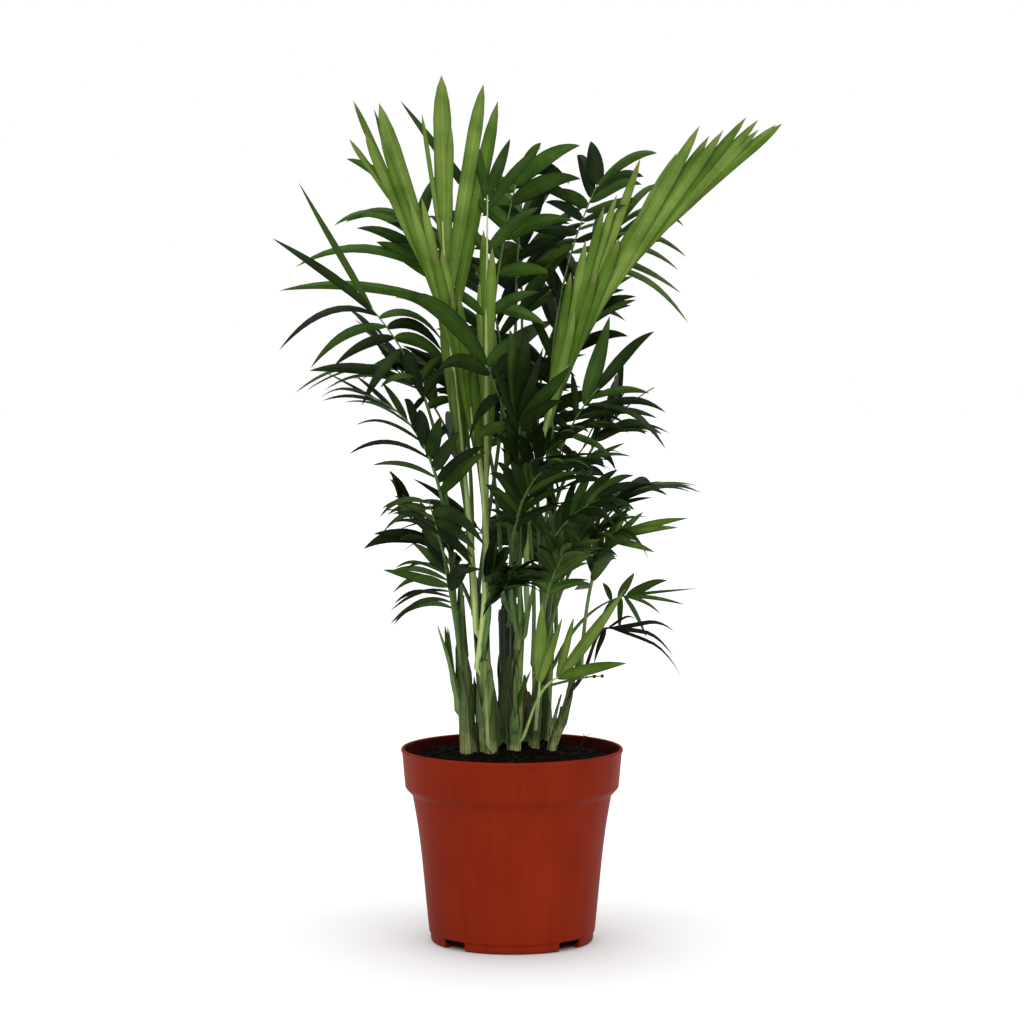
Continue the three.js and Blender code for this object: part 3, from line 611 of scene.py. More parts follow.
def leaf_maker(place, hand, angle, lift, turn, length, wide, droop, hook, off=None, rise=0):
    """A leaflet at its place on the rib, as a function of what it tries: more lift, and a share
    of its length. One with off is turned first, until it stands off the camera by that."""
    point, along, side, face, radius = place

    def leaf_at(more, part):
        raised = math.radians(lift + more)
        flat = along * math.cos(angle) + side * (hand * math.sin(angle))
        heading = flat * math.cos(raised) + face * math.sin(raised)
        first = 0 if off is None else least_turn(face, heading, off)
        facing = turned(face, heading, first + turn)
        heading = heading + UP * rise
        return dict(root=point - heading * (0.5 * radius), heading=heading, face=facing,
                    forward=along, hook=hook, droop=droop, length=length * part, wide=wide)

    return leaf_at


def between(ends, order):
    """What a leaflet of a run has of a size, by its order in the run."""
    return mix(*ends, order) if isinstance(ends, tuple) else ends


def run_leaflets(row, rib):
    """The leaflets of a frond that faces the camera, run by run. Those of an open frond are
    turned until they show the run's width, and may be wider than that."""
    random = stream(row["seed"] + TWIN_SEED)
    spear, shown = row["name"] in SPEARS, row["tone"] not in ("dead", "fresh")
    spreads = SPEAR_SPREADS if spear else RUN_SPREADS
    for hand, shares, count, *sizes in RUNS[row["name"]]:
        for i in range(count):
            order = i / max(1, count - 1)
            angle, length, seen, droop = (
                between(ends, order) * (1 + either(random, spread))
                for ends, spread in zip(sizes, spreads))
            wide = seen = seen * RUN_WIDE
            if shown:
                wide = max(seen, min(RUN_WIDE_SHARE * row["wide"], RUN_WIDE_MOST * seen))
            lift = either(random, RUN_TOSS)
            off = math.acos(seen / wide) * mix(0.9, 1.1, random())
            slack = math.radians(either(random, RUN_SLACK))
            if spear:
                lift, slack = SPEAR_TOSS * lift, SPEAR_SLACK * slack
            place = rib.at(min(1.0, between(shares, order)))
            yield leaf_maker(place, hand, math.radians(angle), lift, slack, length, wide, droop,
                             0.0, off if shown else None, RUN_RISE * droop)


def closes_opening(leaf):
    """Whether a leaflet would stand, in the camera's view, where the photo shows sky."""
    for share in (0.25, 0.45, 0.65, 0.85):
        x, y, z = leaflet_at(leaf, share)[0]
        back = CAMERA_AWAY / (CAMERA_AWAY + y)
        x, z = x * back, CAMERA_HEIGHT + (z - CAMERA_HEIGHT) * back
        if any(((x - middle_x) / half_x) ** 2 + ((z - middle_z) / half_z) ** 2 < 1
               for middle_x, middle_z, half_x, half_z in OPENINGS):
            return True
    return False


def row_leaflets(row, rib, twins):
    """The leaflets of any other frond. The twins stand on the rib's other side and a little
    further on, so that the rows are twice as close."""
    random = stream(row["seed"] + (TWIN_SEED if twins else 0))
    steps = row["pairs"] * 2 - 1
    for i in range(steps + 1):
        order = min(1.0, (i / steps) + (TWIN_ON / steps if twins else 0))
        hand = (1, -1)[(i + twins) % 2]
        angle = math.radians(mix(row["open"], row["close"], order)
                             * (1 + either(random, LEAF_SPREAD)))
        swell = mix(LEAF_SMALLEST, 1, math.sin(math.pi * mix(0.12, 0.8, order)))
        length = row["leaf"] * swell * (1 + either(random, LEAF_SPREAD))
        wide = row["wide"] * mix(0.85, 1.1, order) * (1 + either(random, LEAF_SPREAD))
        if twins:
            wide *= TWIN_WIDE
        if row["name"].startswith("frond_front"):
            wide, length, angle = wide * FRONT_WIDE, length * FRONT_LONG, angle * FRONT_SHUT
        droop = row["droop"] * (1 + either(random, LEAF_SPREAD))
        lift = row["lift"] + either(random, LEAF_TOSS)
        turn = math.radians(either(random, LEAF_TURN))
        yield leaf_maker(rib.at(mix(row["bare"], LEAF_LAST, order)), hand, angle, lift, turn,
                         length, wide, droop, row["hook"])


def ball_solid(centre, radius, sides=5, rings=4):
    points = []
    for row in range(1, rings):
        tilt = row / rings * math.pi
        points += [(-math.cos(angle) * math.sin(tilt), math.cos(tilt),
                    math.sin(angle) * math.sin(tilt)) for _, _, angle in around(sides)]
    points += [(0, 1, 0), (0, -1, 0)]
    return np.array(points) * radius + centre, capped_faces(rings - 2, sides)


# ---------------- grow the plant
for node in ("pot", "soil"):
    mesh = frame["nodes"][node].data
    keep(node, np.array([v.co for v in mesh.vertices]) / MM,
         [tuple(p.vertices) for p in mesh.polygons])
for cane in CANES:
    cane["base"] = soil_height(*cane["foot"]) - SEAT
    keep(cane["name"], cane_solid(cane), CANE_FACES)

for turn_number, (name, canes, bearings, reach, height, leaf) in enumerate(WHORLS):
    random = stream(WHORL_SEED + SEED_STEP * turn_number)
    for i, number in enumerate(canes):
        bearing = mix(*bearings, i / (len(canes) - 1)) + either(random, WHORL_SCATTER) / 2
        bearing, away = math.radians(bearing), reach + either(random, WHORL_SCATTER)
        tip = (math.cos(bearing) * away, math.sin(bearing) * away,
               height + WHORL_RISE * either(random, WHORL_SCATTER))
        foot = CANES[number]["top"] - mix(*WHORL_BELOW, random())
        nod, roll = WHORL_NOD + either(random, WHORL_SCATTER), either(random, WHORL_SCATTER)
        FRONDS.append(frond(f"{name}_{i + 1}", number, foot, tip, WHORL_LEAN, nod, leaf=leaf,
                            roll=roll))

fronds = []
for index, row in enumerate(FRONDS):
    row["seed"] = LEAF_SEED + SEED_STEP * index
    row["seat"] = row["stalk"] / 2 + GAP
    owners = (row["name"], CANES[row["cane"]]["name"])
    for route in ROUTES:
        rib = Rib(row, *route)
        if clears(owners, rib_solid(rib, 2 * GAP), RIB_FACES):
            break
    else:
        continue
    keep(row["name"], rib_solid(rib, 0), RIB_FACES)
    buds = []
    for i in range(row["buds"]):
        centre = rib.place(mix(BUDS_FROM, 1, i / (row["buds"] - 1)))
        if clears((row["name"],), *ball_solid(centre, BUD_RADIUS + GAP)):
            keep(row["name"], *ball_solid(centre, BUD_RADIUS))
            buds.append(centre)
    fronds.append(dict(row=row, rib=rib, buds=buds, leaves=[]))


def sprout(grown, twins):
    """Gives a frond the leaflets that find room, each at the first of its tries that does."""
    name = grown["row"]["name"]
    run, owners = name in RUNS, SPEARS if name in SPEARS else (name,)
    if not (run or grown["row"]["pairs"]) or twins and not name.startswith(TWINNED):
        return
    swing = SPEAR_TRIES if name in SPEARS else RUN_TRIES if run else 1
    for leaf_at in (run_leaflets(grown["row"], grown["rib"]) if run
                    else row_leaflets(grown["row"], grown["rib"], twins)):
        for more, part in TRIES:
            leaf = leaf_at(more * swing, part)
            if not run and closes_opening(leaf):
                continue
            room = (leaflet_solid(leaf), LEAF_FACES) if run else (leaflet_space(leaf), SPACE_FACES)
            if clears(owners, *room):
                keep(name, leaflet_solid(leaf), LEAF_FACES)
                grown["leaves"].append(leaf)
                break


for twins in (False, True):
    for grown in fronds:
        sprout(grown, twins)


# ---------------- pieces
def mesh_object(name, points, faces):
    mesh = bpy.data.meshes.new(name)
    mesh.from_pydata((np.array(points, float) * MM).tolist(), [], faces)
    mesh.update()
    thing = bpy.data.objects.new(name, mesh)
    bpy.context.scene.collection.objects.link(thing)
    return thing


def dress(thing, material, slot, sharp, nodes):
    """Gives a mesh its material, its sharp edges, its body and what it replaces. slot is not used.
    """
    thing.data.materials.clear()
    thing.data.materials.append(material)
    thing.data.shade_smooth()
    if sharp:
        thing.data.set_sharp_from_angle(angle=math.radians(sharp))
    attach(thing, "root")
    if nodes:
        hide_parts(*nodes)


class Piece:
    """Gathers points, faces and a place on the blade for each point, then becomes one mesh."""

    def __init__(self, name, slot, material, sharp=None):
        self.name, self.slot, self.material, self.sharp = name, slot, material, sharp
        self.points, self.places, self.faces, self.nodes = [], [], [], set()

    def add(self, points, faces, node=None, places=None):
        first = len(self.points)
        self.points += list(points)
        self.places += places or [(0, 0)] * len(points)
        self.faces += [tuple(first + i for i in face) for face in faces]
        if node:
            self.nodes.add(node)

    def build(self):
        thing = mesh_object(self.name, self.points, self.faces)
        corners = np.zeros(len(thing.data.loops), np.int32)
        thing.data.loops.foreach_get("vertex_index", corners)
        layer = thing.data.uv_layers.new(name="blade")
        layer.data.foreach_set("uv", np.array(self.places, float)[corners].ravel())
        dress(thing, self.material, self.slot, self.sharp, sorted(self.nodes))


def ring_quads(bands, sides, back=False):
    """Quads round a stack of rings, wound the other way if back."""
    faces = [(row + i, row + j, row + sides + j, row + sides + i)
             for row in range(0, bands * sides, sides) for i, j, _ in around(sides)]
    return [(a, d, c, b) for a, b, c, d in faces] if back else faces


def tube(stations, sides):
    """Rings round a path of (point, side, face, wide, deep), closed at both ends."""
    points = [point + side * (math.cos(angle) * wide) + face * (math.sin(angle) * deep)
              for point, side, face, wide, deep in stations for _, _, angle in around(sides)]
    last = (len(stations) - 1) * sides
    faces = ring_quads(len(stations) - 1, sides)
    return points, faces + [tuple(range(sides))[::-1], tuple(range(last, last + sides))]


def turned_body(rings, ends, sides):
    """Level rings of a radius and a height, or a rule for it, closed to a point at both ends."""
    points = []
    for radius, height in rings:
        for _, _, angle in around(sides):
            x, y = math.cos(angle) * radius, math.sin(angle) * radius
            points.append((x, y, height(x, y) if callable(height) else height))
    points += [(0, 0, height) for height in ends]
    last = (len(rings) - 1) * sides
    faces = ring_quads(len(rings) - 1, sides)
    for i, j, _ in around(sides):
        faces += [(last + sides, j, i), (last + sides + 1, last + i, last + j)]
    return points, faces


# ---------------- materials
def srgb(red, green, blue):
    def linear(value):
        value /= 255
        return value / 12.92 if value <= 0.04045 else ((value + 0.055) / 1.055) ** 2.4

    return linear(red), linear(green), linear(blue), 1.0


def grey(value):
    return value, value, value, 1


def feed(node, inputs):
    """Gives a node's inputs their values, or the outputs of other nodes."""
    for socket, value in inputs.items():
        if isinstance(value, bpy.types.NodeSocket):
            node.id_data.links.new(value, node.inputs[socket])
        else:
            node.inputs[socket].default_value = value


def new_node(tree, kind, inputs, output=0, **settings):
    node = tree.nodes.new("ShaderNode" + kind)
    for name, value in settings.items():
        setattr(node, name, value)
    feed(node, inputs)
    return node.outputs[output]


class Nodes:
    """A material's nodes, with short names for the few kinds that are used."""

    def __init__(self, name, roughness, specular):
        self.material = bpy.data.materials.new(name)
        self.material.use_nodes = True
        self.tree = self.material.node_tree
        self.shader = self.tree.nodes["Principled BSDF"]
        feed(self.shader, {"Roughness": roughness, "Specular IOR Level": specular})
        self.coords = self.tree.nodes.new("ShaderNodeTexCoord").outputs

    def add(self, kind, inputs, output=0, **settings):
        return new_node(self.tree, kind, inputs, output, **settings)

    def noise(self, scale, detail=4, rough=0.55, stretch=None):
        vector = self.coords["Object"]
        if stretch:
            vector = self.add("Mapping", {"Vector": vector, "Scale": (1, 1, stretch)})
        return self.add("TexNoise", {
            "Vector": vector, "Scale": scale, "Detail": detail, "Roughness": rough})

    def ramp(self, value, *stops):
        node = self.tree.nodes.new("ShaderNodeValToRGB")
        elements = node.color_ramp.elements
        while len(elements) < len(stops):
            elements.new(0.5)
        for element, (place, colour) in zip(elements, stops):
            element.position = place
            element.color = colour
        feed(node, {"Fac": value})
        return node.outputs["Color"]

    def shades(self, value, start, low, end, high):
        return self.ramp(value, (start, srgb(*low)), (end, srgb(*high)))

    def mask(self, value, start, end, most=1):
        return self.ramp(value, (start, grey(0)), (end, grey(most)))

    def math(self, kind, *values):
        return self.add("Math", dict(enumerate(values)), operation=kind)

    def blend(self, share, a, b, kind="MIX"):
        return self.add("Mix", {0: share, 6: a, 7: b}, 2, data_type="RGBA", blend_type=kind)

    def part(self, source, axis):
        return self.add("SeparateXYZ", {0: self.coords[source]}, axis)

    def finish(self, colour, height, distance, strength, rough=None):
        """Joins the colour, the bump and, where it varies, the roughness."""
        bump = {"Strength": strength, "Distance": distance, "Height": height}
        feed(self.shader, {"Base Color": colour, "Normal": self.add("Bump", bump)})
        if rough:
            rough = dict(zip(("Value", "To Min", "To Max"), rough))
            feed(self.shader, {"Roughness": self.add("MapRange", rough)})
        return self.material


def leaf_material(name, low, high, dry_tip=False):
    nodes = Nodes(name, 0.5, 0.05)
    across, plain, edge = nodes.part("UV", "X"), grey(1), (0.6, 0.64, 0.58, 1)
    # painted shade darkens the leaflet's folded edges; the paler midrib is the leaflet's own
    # colour
    edge_shade_and_pale_midrib = nodes.ramp(
        across, (0.0, edge), (0.18, plain), (0.42, plain), (0.5, (1.3, 1.26, 1.3, 1)),
        (0.58, plain), (0.82, plain), (1.0, edge))
    body = nodes.shades(nodes.noise(60, 3), 0.35, low, 0.7, high)
    body = nodes.blend(1.0, body, edge_shade_and_pale_midrib, "MULTIPLY")
    if dry_tip:
        tip = nodes.mask(nodes.part("UV", "Y"), 0.9, 0.985, 0.5)
        body = nodes.blend(tip, body, srgb(128, 118, 78))
    veins = nodes.math("SINE", nodes.math("MULTIPLY", across, 44.0))
    return nodes.finish(body, nodes.math("MULTIPLY", veins, 0.5), 0.00012, 0.5,
                        (nodes.noise(180, 2), 0.44, 0.58))


def stalk_material(name, low, high):
    nodes = Nodes(name, 0.45, 0.3)
    streaks = nodes.noise(900, 4, stretch=0.05)
    return nodes.finish(nodes.shades(streaks, 0.34, low, 0.66, high), streaks, 0.00012, 0.6)


def dry_material(name, low, high):
    nodes = Nodes(name, 0.75, 0.15)
    streaks = nodes.noise(800, 5, stretch=0.06)
    return nodes.finish(nodes.shades(streaks, 0.35, low, 0.65, high), streaks, 0.0003, 0.8)


def soil_material(name, low, high):
    nodes = Nodes(name, 0.95, 0.04)
    colour = nodes.shades(nodes.noise(450, 6, 0.7), 0.35, low, 0.7, high)
    return nodes.finish(colour, nodes.noise(900, 6, 0.7), 0.0006, 0.8)


def sheath_material(name, foot, middle, head, greens_at=0.35):
    """Green that pales to the foot, with fine upright streaks and small dry marks."""
    nodes = Nodes(name, 0.5, 0.28)
    height = nodes.add("MapRange", {
        "Value": nodes.part("Object", "Z"), "From Min": 0.101, "From Max": 0.166})
    wander = nodes.math("MULTIPLY", nodes.math("SUBTRACT", nodes.noise(70, 2), 0.5), 0.7)
    green = nodes.ramp(nodes.math("ADD", height, wander), (0.02, srgb(*foot)),
                       (greens_at, srgb(*middle)), (0.95, srgb(*head)))
    streaks = nodes.noise(1100, 4, stretch=0.035)
    dark = nodes.blend(nodes.mask(streaks, 0.38, 0.62), (0.42, 0.47, 0.34, 1),
                       (1.18, 1.15, 1.08, 1))
    body = nodes.blend(1.0, green, dark, "MULTIPLY")
    marks = nodes.mask(nodes.noise(260, 5, 0.7, 0.3), 0.66, 0.74, 0.7)
    return nodes.finish(nodes.blend(marks, body, srgb(112, 92, 58)), streaks, 0.00018, 0.7,
                        (streaks, 0.42, 0.62))


def pot_material():
    """Red plastic with faint clouds and upright streaks, specks, and above the soil an inner wall
    drawn near-black: soil dust and painted shade.
    """
    nodes = Nodes("pot_plastic", 0.46, 0.035)

    def product(a, b):
        return nodes.math("MULTIPLY", a, b)

    def total(a, b):
        return nodes.math("ADD", a, b)

    cloud, streak = nodes.noise(14, 3), nodes.noise(120, 3, stretch=0.08)
    body = nodes.shades(total(product(cloud, 0.6), product(streak, 0.4)),
                        0.36, (114, 29, 10), 0.64, (128, 37, 14))
    specks = nodes.mask(nodes.noise(420, 2, 0.4), 0.70, 0.76, 0.5)
    body = nodes.blend(specks, body, srgb(88, 22, 12))
    # painted shade with some soil dust: the inner wall above the soil is darkened
    across, along = nodes.part("Object", "X"), nodes.part("Object", "Y")
    away = nodes.math("SQRT", total(product(across, across), product(along, along)))
    inside = nodes.math("LESS_THAN", away, 0.0582)
    upper = nodes.math("GREATER_THAN", nodes.part("Object", "Z"), 0.0935)
    soil_dust_and_shade = product(product(inside, upper), total(product(nodes.noise(160, 5, 0.7), 0.8), 0.35))
    grain = total(product(nodes.noise(700, 3), 0.3), nodes.noise(30, 2))
    return nodes.finish(nodes.blend(soil_dust_and_shade, body, srgb(26, 12, 8)), grain, 0.0004, 0.35,
                        (nodes.noise(50, 4, stretch=0.3), 0.4, 0.56))


# ---------------- pot
BAND_FOOT = POT_HEIGHT - BAND_HEIGHT
NECK_HEIGHT = BAND_FOOT - 4
INNER_RIM = RIM_RADIUS - LIP - WALL
INNER_WALL = [  # radius, height and rounding of each corner
    (FOOT_RADIUS - WALL - 1, FLOOR, 0.5),
    (HEEL_RADIUS - WALL, FOOT_HEIGHT + 0.6, 0.5),
    (WAIST_RADIUS - WALL, WAIST_HEIGHT, 5),
    (SHOULDER_RADIUS - WALL, SHOULDER_HEIGHT, 5),
    (NECK_RADIUS - WALL, NECK_HEIGHT, 1),
    (BAND_FOOT_RADIUS - WALL, BAND_FOOT + 0.8, 1),
    (INNER_RIM, POT_HEIGHT - 1.6, 0.5),
]
POT_PROFILE = [
    (0, 0, 0),
    (FOOT_RADIUS - 1.6, 0, 0.8),
    (FOOT_RADIUS - 0.4, 0.6, 0.7),
    (FOOT_RADIUS, 2, 0.8),
    (FOOT_RADIUS, FOOT_HEIGHT, 0.5),
    (HEEL_RADIUS, FOOT_HEIGHT + 0.6, 0.5),
    (WAIST_RADIUS, WAIST_HEIGHT, 7),
    (SHOULDER_RADIUS, SHOULDER_HEIGHT, 7),
    (NECK_RADIUS, NECK_HEIGHT, 0.8),
    (BAND_FOOT_RADIUS - 0.8, BAND_FOOT - 0.8, 0.5),
    (BAND_FOOT_RADIUS, BAND_FOOT + 0.4, 0.4),
    (RIM_RADIUS - LIP, POT_HEIGHT - 2.6, 0.5),
    (RIM_RADIUS, POT_HEIGHT - 1.7, 0.5),
    (RIM_RADIUS - 0.2, POT_HEIGHT - 0.5, 0.5),
    (RIM_RADIUS - 0.8, POT_HEIGHT, 0.4),
    (INNER_RIM + 0.3, POT_HEIGHT - 0.3, 0.4),
    *reversed(INNER_WALL),
    (0, FLOOR, 0),
]
POT_SIDES = 160


def rounded(profile):
    """The profile with each corner replaced by a short arc of its own size."""
    corners = [np.array(row[:2], float) for row in profile]
    points = []
    for before, corner, after, row in zip(corners, corners[1:], corners[2:], profile[1:]):
        first = corner + (before - corner) * min(0.48, row[2] / math.dist(before, corner))
        last = corner + (after - corner) * min(0.48, row[2] / math.dist(after, corner))
        for t in (0, 0.25, 0.5, 0.75, 1):
            points.append(first * (1 - t) ** 2 + corner * (2 * t * (1 - t)) + last * t * t)
    return points


def notch_block(turn):
    """What cuts one drain hole into the foot, with round upper corners."""
    half, low = NOTCH_WIDTH / 2, NOTCH_HEIGHT - NOTCH_CORNER
    outline = [(-half, -1), (half, -1), (half, low)]
    for middle, start, first in ((half - NOTCH_CORNER, 0, 1), (NOTCH_CORNER - half, 1, 0)):
        for step in range(first, 5):
            angle = start * math.pi / 2 + step / 4 * math.pi / 2
            outline.append((middle + math.cos(angle) * NOTCH_CORNER,
                            low + math.sin(angle) * NOTCH_CORNER))
    c, s, count = math.cos(turn), math.sin(turn), len(outline)
    points = [(x * c + depth * s, x * s - depth * c, z)
              for depth in (NOTCH_REACH_IN, RIM_RADIUS) for x, z in outline]
    faces = [tuple(range(count))[::-1], tuple(range(count, 2 * count))]
    return mesh_object("notch", points, faces + ring_quads(1, count))


def make_pot():
    profile = rounded(POT_PROFILE)
    thing = mesh_object("nursery_pot", *turned_body(profile, (0, FLOOR), POT_SIDES))
    blocks = [notch_block((i + 0.5) * TURN / NOTCHES) for i in range(NOTCHES)]
    for block in blocks:
        cut = thing.modifiers.new("cut", "BOOLEAN")
        cut.operation = "DIFFERENCE"
        cut.solver = "EXACT"
        cut.object = block
    graph = bpy.context.evaluated_depsgraph_get()
    made = bpy.data.meshes.new_from_object(thing.evaluated_get(graph))
    thing.modifiers.clear()
    thing.data = made
    for block in blocks:
        bpy.data.objects.remove(block)
    dress(thing, pot_material(), "pot", 24, ["pot"])


make_pot()

# ---------------- soil
PEAT_SIDES, PEAT_RINGS = 150, 46
PEAT_RADIUS = mix(BAND_FOOT_RADIUS, RIM_RADIUS - LIP, 0.6) - WALL - GAP
PEAT_GRAIN, PEAT_ROUGH, PEAT_HEAP, HEAP_REACH = 0.16, 0.85, 0.9, 3.2
CRUMBS, CRUMB_LEAST, CRUMB_MORE, CRUMB_FINE = 900, 0.35, 1.15, 0.8
CRUMB_FLAT, CRUMB_SITS = 0.7, 0.15
BROWN_SHARE = 0.16
ROCK_LUMP = 0.55
FIBRES, FIBRE_STEPS, FIBRE_CURL, FIBRE_ARCH, FIBRE_OVER = 150, 5, 1.6, 0.7, 0.25
TWIGS = [  # each as points and radii
    [((37.5, 24, 101.5), 0.75), ((38.6, 23.6, 104.8), 0.6), ((40.6, 23, 107.6), 0.42),
     ((43.9, 22.6, 109.8), 0.2)],
    [((40.2, 23.1, 107.2), 0.36), ((38.6, 22.6, 109.2), 0.16)],
]


def peat_height(x, y):
    """The source's mound, with rough peat on it, a small heap round each cane, and raised a
    little at the back."""
    inside = 1 - (math.hypot(x, y) / PEAT_RADIUS) ** 6
    rough = noise.fractal(Vector((x * PEAT_GRAIN, y * PEAT_GRAIN, 3.1)), 0.7, 2.1, 5)
    away = min(max(0.0, math.dist((x, y), cane["foot"]) - cane["wide"]) for cane in CANES)
    heap = math.exp(-away / HEAP_REACH)
    raised = 1.4 * smooth((y + 20) / 60) + 1.6 * math.exp(-math.dist((x, y), (20, 8)) ** 2 / 400)
    return soil_height(x, y) + inside * (PEAT_ROUGH * rough + PEAT_HEAP * heap + raised)


def make_soil():
    piece = Piece("peat", "soil", soil_material("peat_dark", (5, 4, 3), (19, 14, 9)), 50)
    rings = [(PEAT_RADIUS * (ring + 1) / PEAT_RINGS, peat_height) for ring in range(PEAT_RINGS)]
    rings += [(radius - 1.5 * GAP, height) for radius, height, _ in INNER_WALL[-2:0:-1]]
    rings.append((INNER_WALL[0][0] - GAP, FLOOR + GAP))
    points, faces = turned_body(rings, (peat_height(0, 0), FLOOR + GAP), PEAT_SIDES)
    piece.add(points, [face[::-1] for face in faces], "soil")
    piece.build()


def rock(radius, seed, detail):
    """A small uneven lump: an icosahedron, once divided for the larger ones."""
    g = (1 + math.sqrt(5)) / 2
    points = [unit(np.array(p, float)) for p in (
        (-1, g, 0), (1, g, 0), (-1, -g, 0), (1, -g, 0), (0, -1, g), (0, 1, g),
        (0, -1, -g), (0, 1, -g), (g, 0, -1), (g, 0, 1), (-g, 0, -1), (-g, 0, 1))]
    faces = [(0, 11, 5), (0, 5, 1), (0, 1, 7), (0, 7, 10), (0, 10, 11), (1, 5, 9), (5, 11, 4),
             (11, 10, 2), (10, 7, 6), (7, 1, 8), (3, 9, 4), (3, 4, 2), (3, 2, 6), (3, 6, 8),
             (3, 8, 9), (4, 9, 5), (2, 4, 11), (6, 2, 10), (8, 6, 7), (9, 8, 1)]
    if detail:
        middles, finer = {}, []

        def middle(a, b):
            key = (min(a, b), max(a, b))
            if key not in middles:
                middles[key] = len(points)
                points.append(unit(points[a] + points[b]))
            return middles[key]

        for a, b, c in faces:
            ab, bc, ca = middle(a, b), middle(b, c), middle(c, a)
            finer += [(a, ab, ca), (b, bc, ab), (c, ca, bc), (ab, bc, ca)]
        faces = finer
    shift = Vector((seed * 7.1, seed * 3.3, seed))
    return np.array([p * radius * (1 + ROCK_LUMP * noise.noise(Vector(p * 1.3) + shift))
                     for p in points]), faces


def on_soil(random, margin):
    angle, radius = random() * TURN, math.sqrt(random()) * (PEAT_RADIUS - margin)
    return math.cos(angle) * radius, math.sin(angle) * radius


def add_crumb(random, number, dark, brown):
    x, y = on_soil(random, 1.6)
    size = CRUMB_LEAST + CRUMB_MORE * random() ** 3
    points, faces = rock(size, number, size > CRUMB_FINE)
    points[:, 2] *= CRUMB_FLAT
    spin = random() * TURN
    c, s = math.cos(spin), math.sin(spin)
    points = points @ np.array([[c, s, 0], [-s, c, 0], [0, 0, 1]])
    points += (x, y, peat_height(x, y) + size * CRUMB_SITS)
    (brown if random() < BROWN_SHARE else dark).add(points, faces)


def add_fibre(random, fibres):
    x, y = on_soil(random, 5)
    heading, length = random() * TURN, 2 + 5 * random()
    curl, thick = FIBRE_CURL * (random() - 0.5), 0.1 + 0.12 * random()
    stations = []
    for step in range(FIBRE_STEPS + 1):
        t = step / FIBRE_STEPS
        way = heading + curl * t
        x += math.cos(way) * length / FIBRE_STEPS
        y += math.sin(way) * length / FIBRE_STEPS
        if math.hypot(x, y) > PEAT_RADIUS - 1:
            break
        arch = FIBRE_ARCH * math.sin(math.pi * t) * curl * curl
        height = peat_height(x, y) + FIBRE_OVER + arch
        side = np.array([-math.sin(way), math.cos(way), 0])
        stations.append((np.array([x, y, height]), side, UP, thick, thick))
    if len(stations) > 3:
        fibres.add(*tube(stations, 5))


def make_crumbs():
    random = stream(DETAIL_SEED)
    dark = Piece("crumbs_dark", "soil", soil_material("crumb_dark", (6, 5, 4), (22, 16, 11)), 40)
    brown = Piece("crumbs_brown", "soil",
                  soil_material("crumb_brown", (16, 11, 7), (36, 25, 16)), 40)
    fibres = Piece("peat_fibres", "soil",
                   dry_material("fibre_dry", (26, 19, 12), (58, 44, 28)), 60)
    for number in range(CRUMBS):
        add_crumb(random, number, dark, brown)
    for _ in range(FIBRES):
        add_fibre(random, fibres)
    side, face = np.array([0.7, 0.7, 0]), np.array([0.7, -0.7, 0.2])
    for twig in TWIGS:
        fibres.add(*tube([(np.array(point), side, face, thick, thick) for point, thick in twig],
                         7))
    for piece in (dark, brown, fibres):
        piece.build()


make_soil()
make_crumbs()


# ---------------- canes and sheaths
def cane_piece(name, material, sharp=50):
    return Piece(name, "cane", material, sharp)


green_sheath = cane_piece("sheaths_green", sheath_material(
    "sheath_green", (150, 154, 102), (76, 98, 50), (54, 74, 34), 0.2))
pale_sheath = cane_piece("sheaths_pale", sheath_material(
    "sheath_pale", (166, 170, 118), (118, 136, 76), (88, 112, 50)))
deep_sheath = cane_piece("sheaths_deep", sheath_material(
    "sheath_deep", (116, 124, 78), (54, 72, 34), (28, 44, 18), 0.2))
husk_sheath = cane_piece("sheaths_husk", dry_material("husk_dry", (54, 42, 24), (108, 92, 58)))
margins = cane_piece("sheath_margins", dry_material("margin_dry", (38, 44, 22), (84, 88, 50)))
cores = cane_piece("cane_cores", sheath_material(
    "cane_core", (138, 146, 90), (82, 102, 48), (56, 78, 34)), 40)
DRAWN_SLIMMER = {"cane_front": 0.8, "cane_right": 0.86, "cane_leaning": 0.82, "cane_centre": 0.9}
CORE_SIDES, CORE_STEPS = 20, 64
CORE_INSIDE = 0.35
SCAR_HIGH, SCAR_WIDE, SCAR_GROOVE, GROOVE_BELOW = 0.22, 0.9, 0.12, 1.2
SHEATH_SIDES, SHEATH_ROWS = 30, 12
SHEATH_THICK = 0.28
SHEATH_SUNK, SHEATH_WOUND = 0.15, 0.32  # into the cane, and out again over one turn
MARGIN_OUT, MARGIN_DOWN = 0.04, 0.4
TEAR_LEAST, TEAR_MORE = 0.2, 0.9


def drawn_at(cane, height):
    """Where the cane is, a little slimmer than its solid where the photo shows it so."""
    middle, radius = cane_at(cane, height)
    return middle, radius * DRAWN_SLIMMER.get(cane["name"], 1)


def core_of(cane, number):
    """The bare cane: ring scars a finger's width apart, each with a raised lip."""
    random = stream(DETAIL_SEED + 100 + number)
    scars, height = [], cane["base"] + 6
    while height < cane["top"] - 3:
        scars.append(height)
        height += 9 + 6 * random()
    stations = []
    for step in range(CORE_STEPS + 1):
        height = mix(cane["base"] - 1, cane["top"], step / CORE_STEPS)
        middle, radius = drawn_at(cane, height)
        radius -= CORE_INSIDE
        for scar in scars:
            away = (height - scar) / SCAR_WIDE
            radius += SCAR_HIGH * math.exp(-away * away)
            radius -= SCAR_GROOVE * math.exp(-(away + GROOVE_BELOW) ** 2)
        if step > CORE_STEPS - 2:
            radius *= 0.8
        stations.append((middle, ACROSS, AWAY, radius, radius))
    cores.add(*tube(stations, CORE_SIDES), cane["name"])


